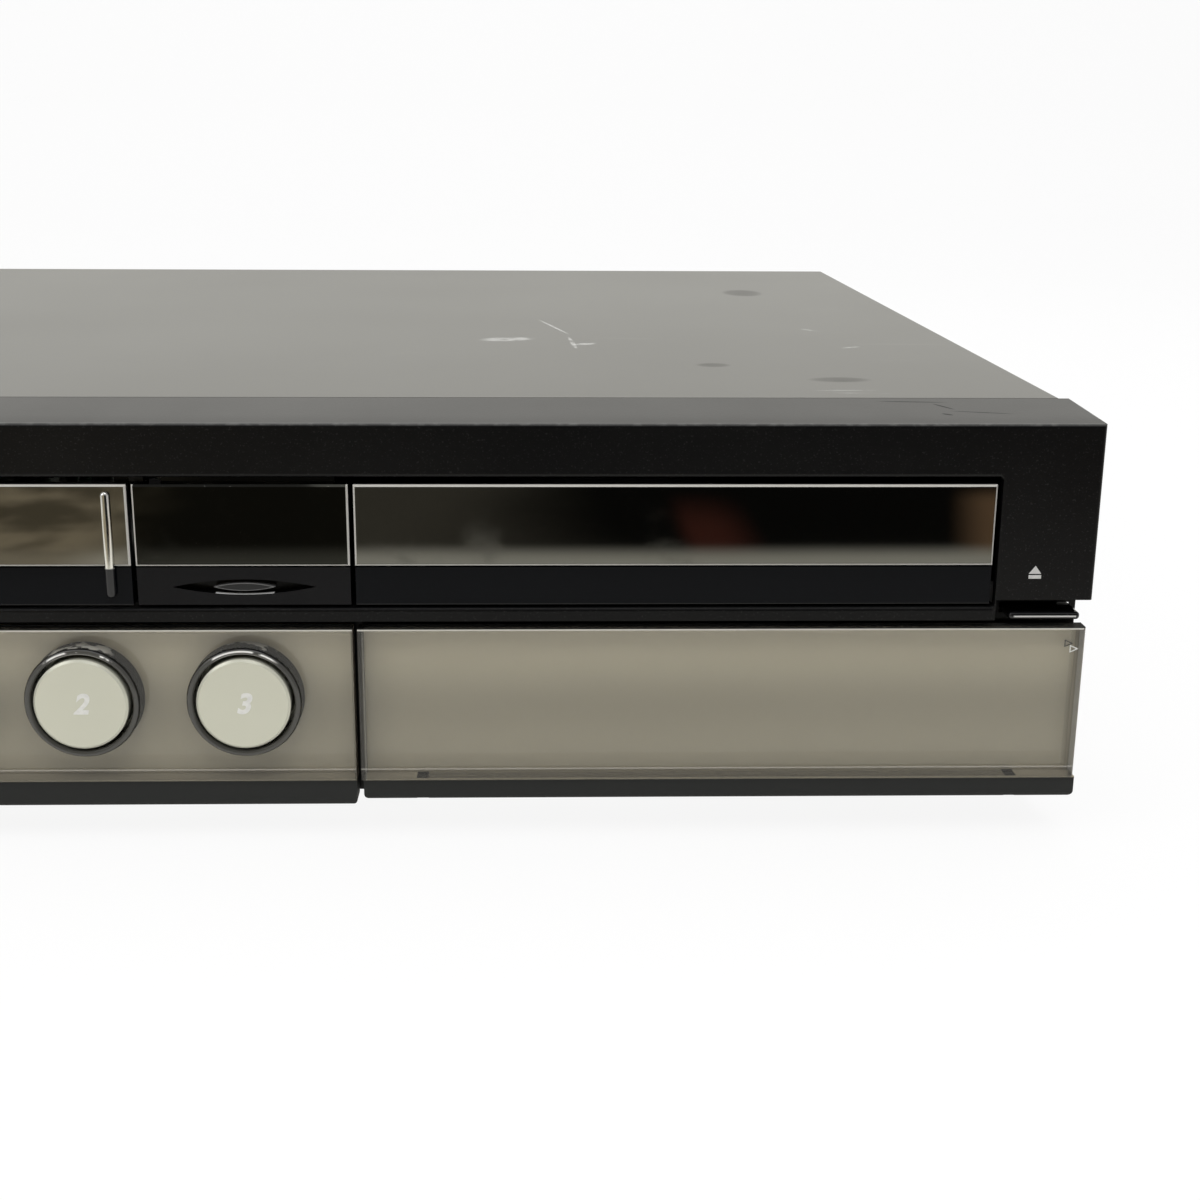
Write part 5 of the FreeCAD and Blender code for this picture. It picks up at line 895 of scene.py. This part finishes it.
def table_finish():
    look = Finish("pale_table")
    sight = look.node("LightPath", out="Is Camera Ray")
    gloss = look.node("LightPath", out="Is Glossy Ray")
    either = look.node("Math", {"operation": "MAXIMUM"}, {0: sight, 1: gloss})
    plain = look.node("BsdfDiffuse", values={"Color": (0.86, 0.86, 0.85, 1)})
    shown = look.blend(gloss, (1, 1, 1), (1.0, 0.985, 0.925))
    white = look.node("Emission", values={"Color": shown, "Strength": 1.0})
    return look.done(look.mixed(either * 0.89, plain, white))


stage_piece("table_and_wall", swept(TABLE, TABLE_LEFT, TABLE_WIDE), table_finish())

# %% [markdown]
# ## What the mirrors see
# A dark card lies on the table in front, outside the picture, and stands up at its far edge. The mirrors
# look down into it, so only a soft pale band is left near their lower edge, and the black mouldings keep
# their black. The card is warmer and paler to the left, as a wooden room is, and has two warm patches at
# the right.

# %% Dark card
CARD = [(front - 0.22, 0.002), (front - 0.9, 0.002), (front - 1.05, 0.06), (front - 1.12, 0.9)]
CARD_LEFT, CARD_WIDE = -1.1, 2.5


def card_finish():
    look = Finish("dark_card")
    room = look.noise(9, 4) - 0.5
    depth = look.y - front
    right_part = look.between(look.x + room * 0.03, -0.085, -0.045)
    near = look.between(depth + room * 0.006, -0.257, -0.229)
    grain = look.between(look.noise(24, 3), 0.38, 0.62)
    mottled = look.blend(grain, (0.15, 0.132, 0.092), (0.43, 0.375, 0.27))
    half = 1 - look.between(look.x + room * 0.05, 0.04, 0.13)
    dark = look.blend(half, (0.010, 0.010, 0.009), (0.115, 0.108, 0.088))
    red = look.between(look.x, 0.146, 0.156) * (1 - look.between(look.x, 0.162, 0.184))
    red = red * look.between(depth, -0.35, -0.27)
    warm = look.between(look.x + depth * 0.25, 0.185, 0.205) * look.between(depth, -0.36, -0.32)
    patched = look.blend(warm, look.blend(red * 0.8, dark, (0.14, 0.045, 0.032)), (0.30, 0.19, 0.11))
    room_shade = look.blend(right_part, mottled, patched)
    edge_shade = look.blend(right_part, (0.44, 0.40, 0.31), (0.80, 0.79, 0.71))
    return look.done(look.node("BsdfDiffuse", values={"Color": look.blend(near, room_shade, edge_shade)}))


dark_card = stage_piece("dark_card", swept(CARD, CARD_LEFT, CARD_WIDE), card_finish())
dark_card.visible_camera = False

# %% [markdown]
# ## Lamps
# Three large soft lamps hang over the table. The one in front lights the caps and the silver. It hangs
# above the card's top edge and is hidden from reflections, so it never shows in a mirror.

# %% Soft lamps
def soft_lamp(name, place, aim, wide, power):
    data = bpy.data.lights.new(name, "AREA")
    data.shape = "SQUARE"
    data.size = wide
    data.energy = power
    lamp = bpy.data.objects.new(name, data)
    bpy.context.scene.collection.objects.link(lamp)
    lamp.location = place
    lamp.rotation_mode = "QUATERNION"
    lamp.rotation_quaternion = (Vector(aim) - Vector(place)).to_track_quat("-Z", "Y")
    print(name, "gives", power, "watts")
    return lamp


soft_lamp("lamp_over", (0.1, 0.2, 1.6), (0, 0, 0), 1.6, 15)
soft_lamp("lamp_side", (-1.3, -0.9, 1.3), (0, 0, 0), 1.2, 8)
fill = soft_lamp("lamp_front", (0.25, -0.95, 1.4), (0.05, -0.18, 0.05), 0.8, 9)
fill.visible_glossy = False

# %% [markdown]
# ## The room's light
# The world fills the shadows with an even, slightly cool light. The camera sees plain white instead, as
# in a cut-out photograph, so the background's colour and the strength of the fill can be set apart.

# %% World
world = bpy.data.worlds.new("room")
bpy.context.scene.world = world
world.use_nodes = True
sky = world.node_tree
ambient = sky.nodes["Background"]
ambient.inputs["Color"].default_value = (0.97, 0.97, 1.0, 1)
ambient.inputs["Strength"].default_value = 0.55
backdrop = sky.nodes.new("ShaderNodeBackground")
backdrop.inputs["Color"].default_value = (1, 1, 1, 1)
chooser = sky.nodes.new("ShaderNodeMixShader")
path = sky.nodes.new("ShaderNodeLightPath")
sky.links.new(path.outputs["Is Camera Ray"], chooser.inputs[0])
sky.links.new(ambient.outputs[0], chooser.inputs[1])
sky.links.new(backdrop.outputs[0], chooser.inputs[2])
sky.links.new(chooser.outputs[0], sky.nodes["World Output"].inputs["Surface"])
print("world light", round(ambient.inputs["Strength"].default_value, 2))
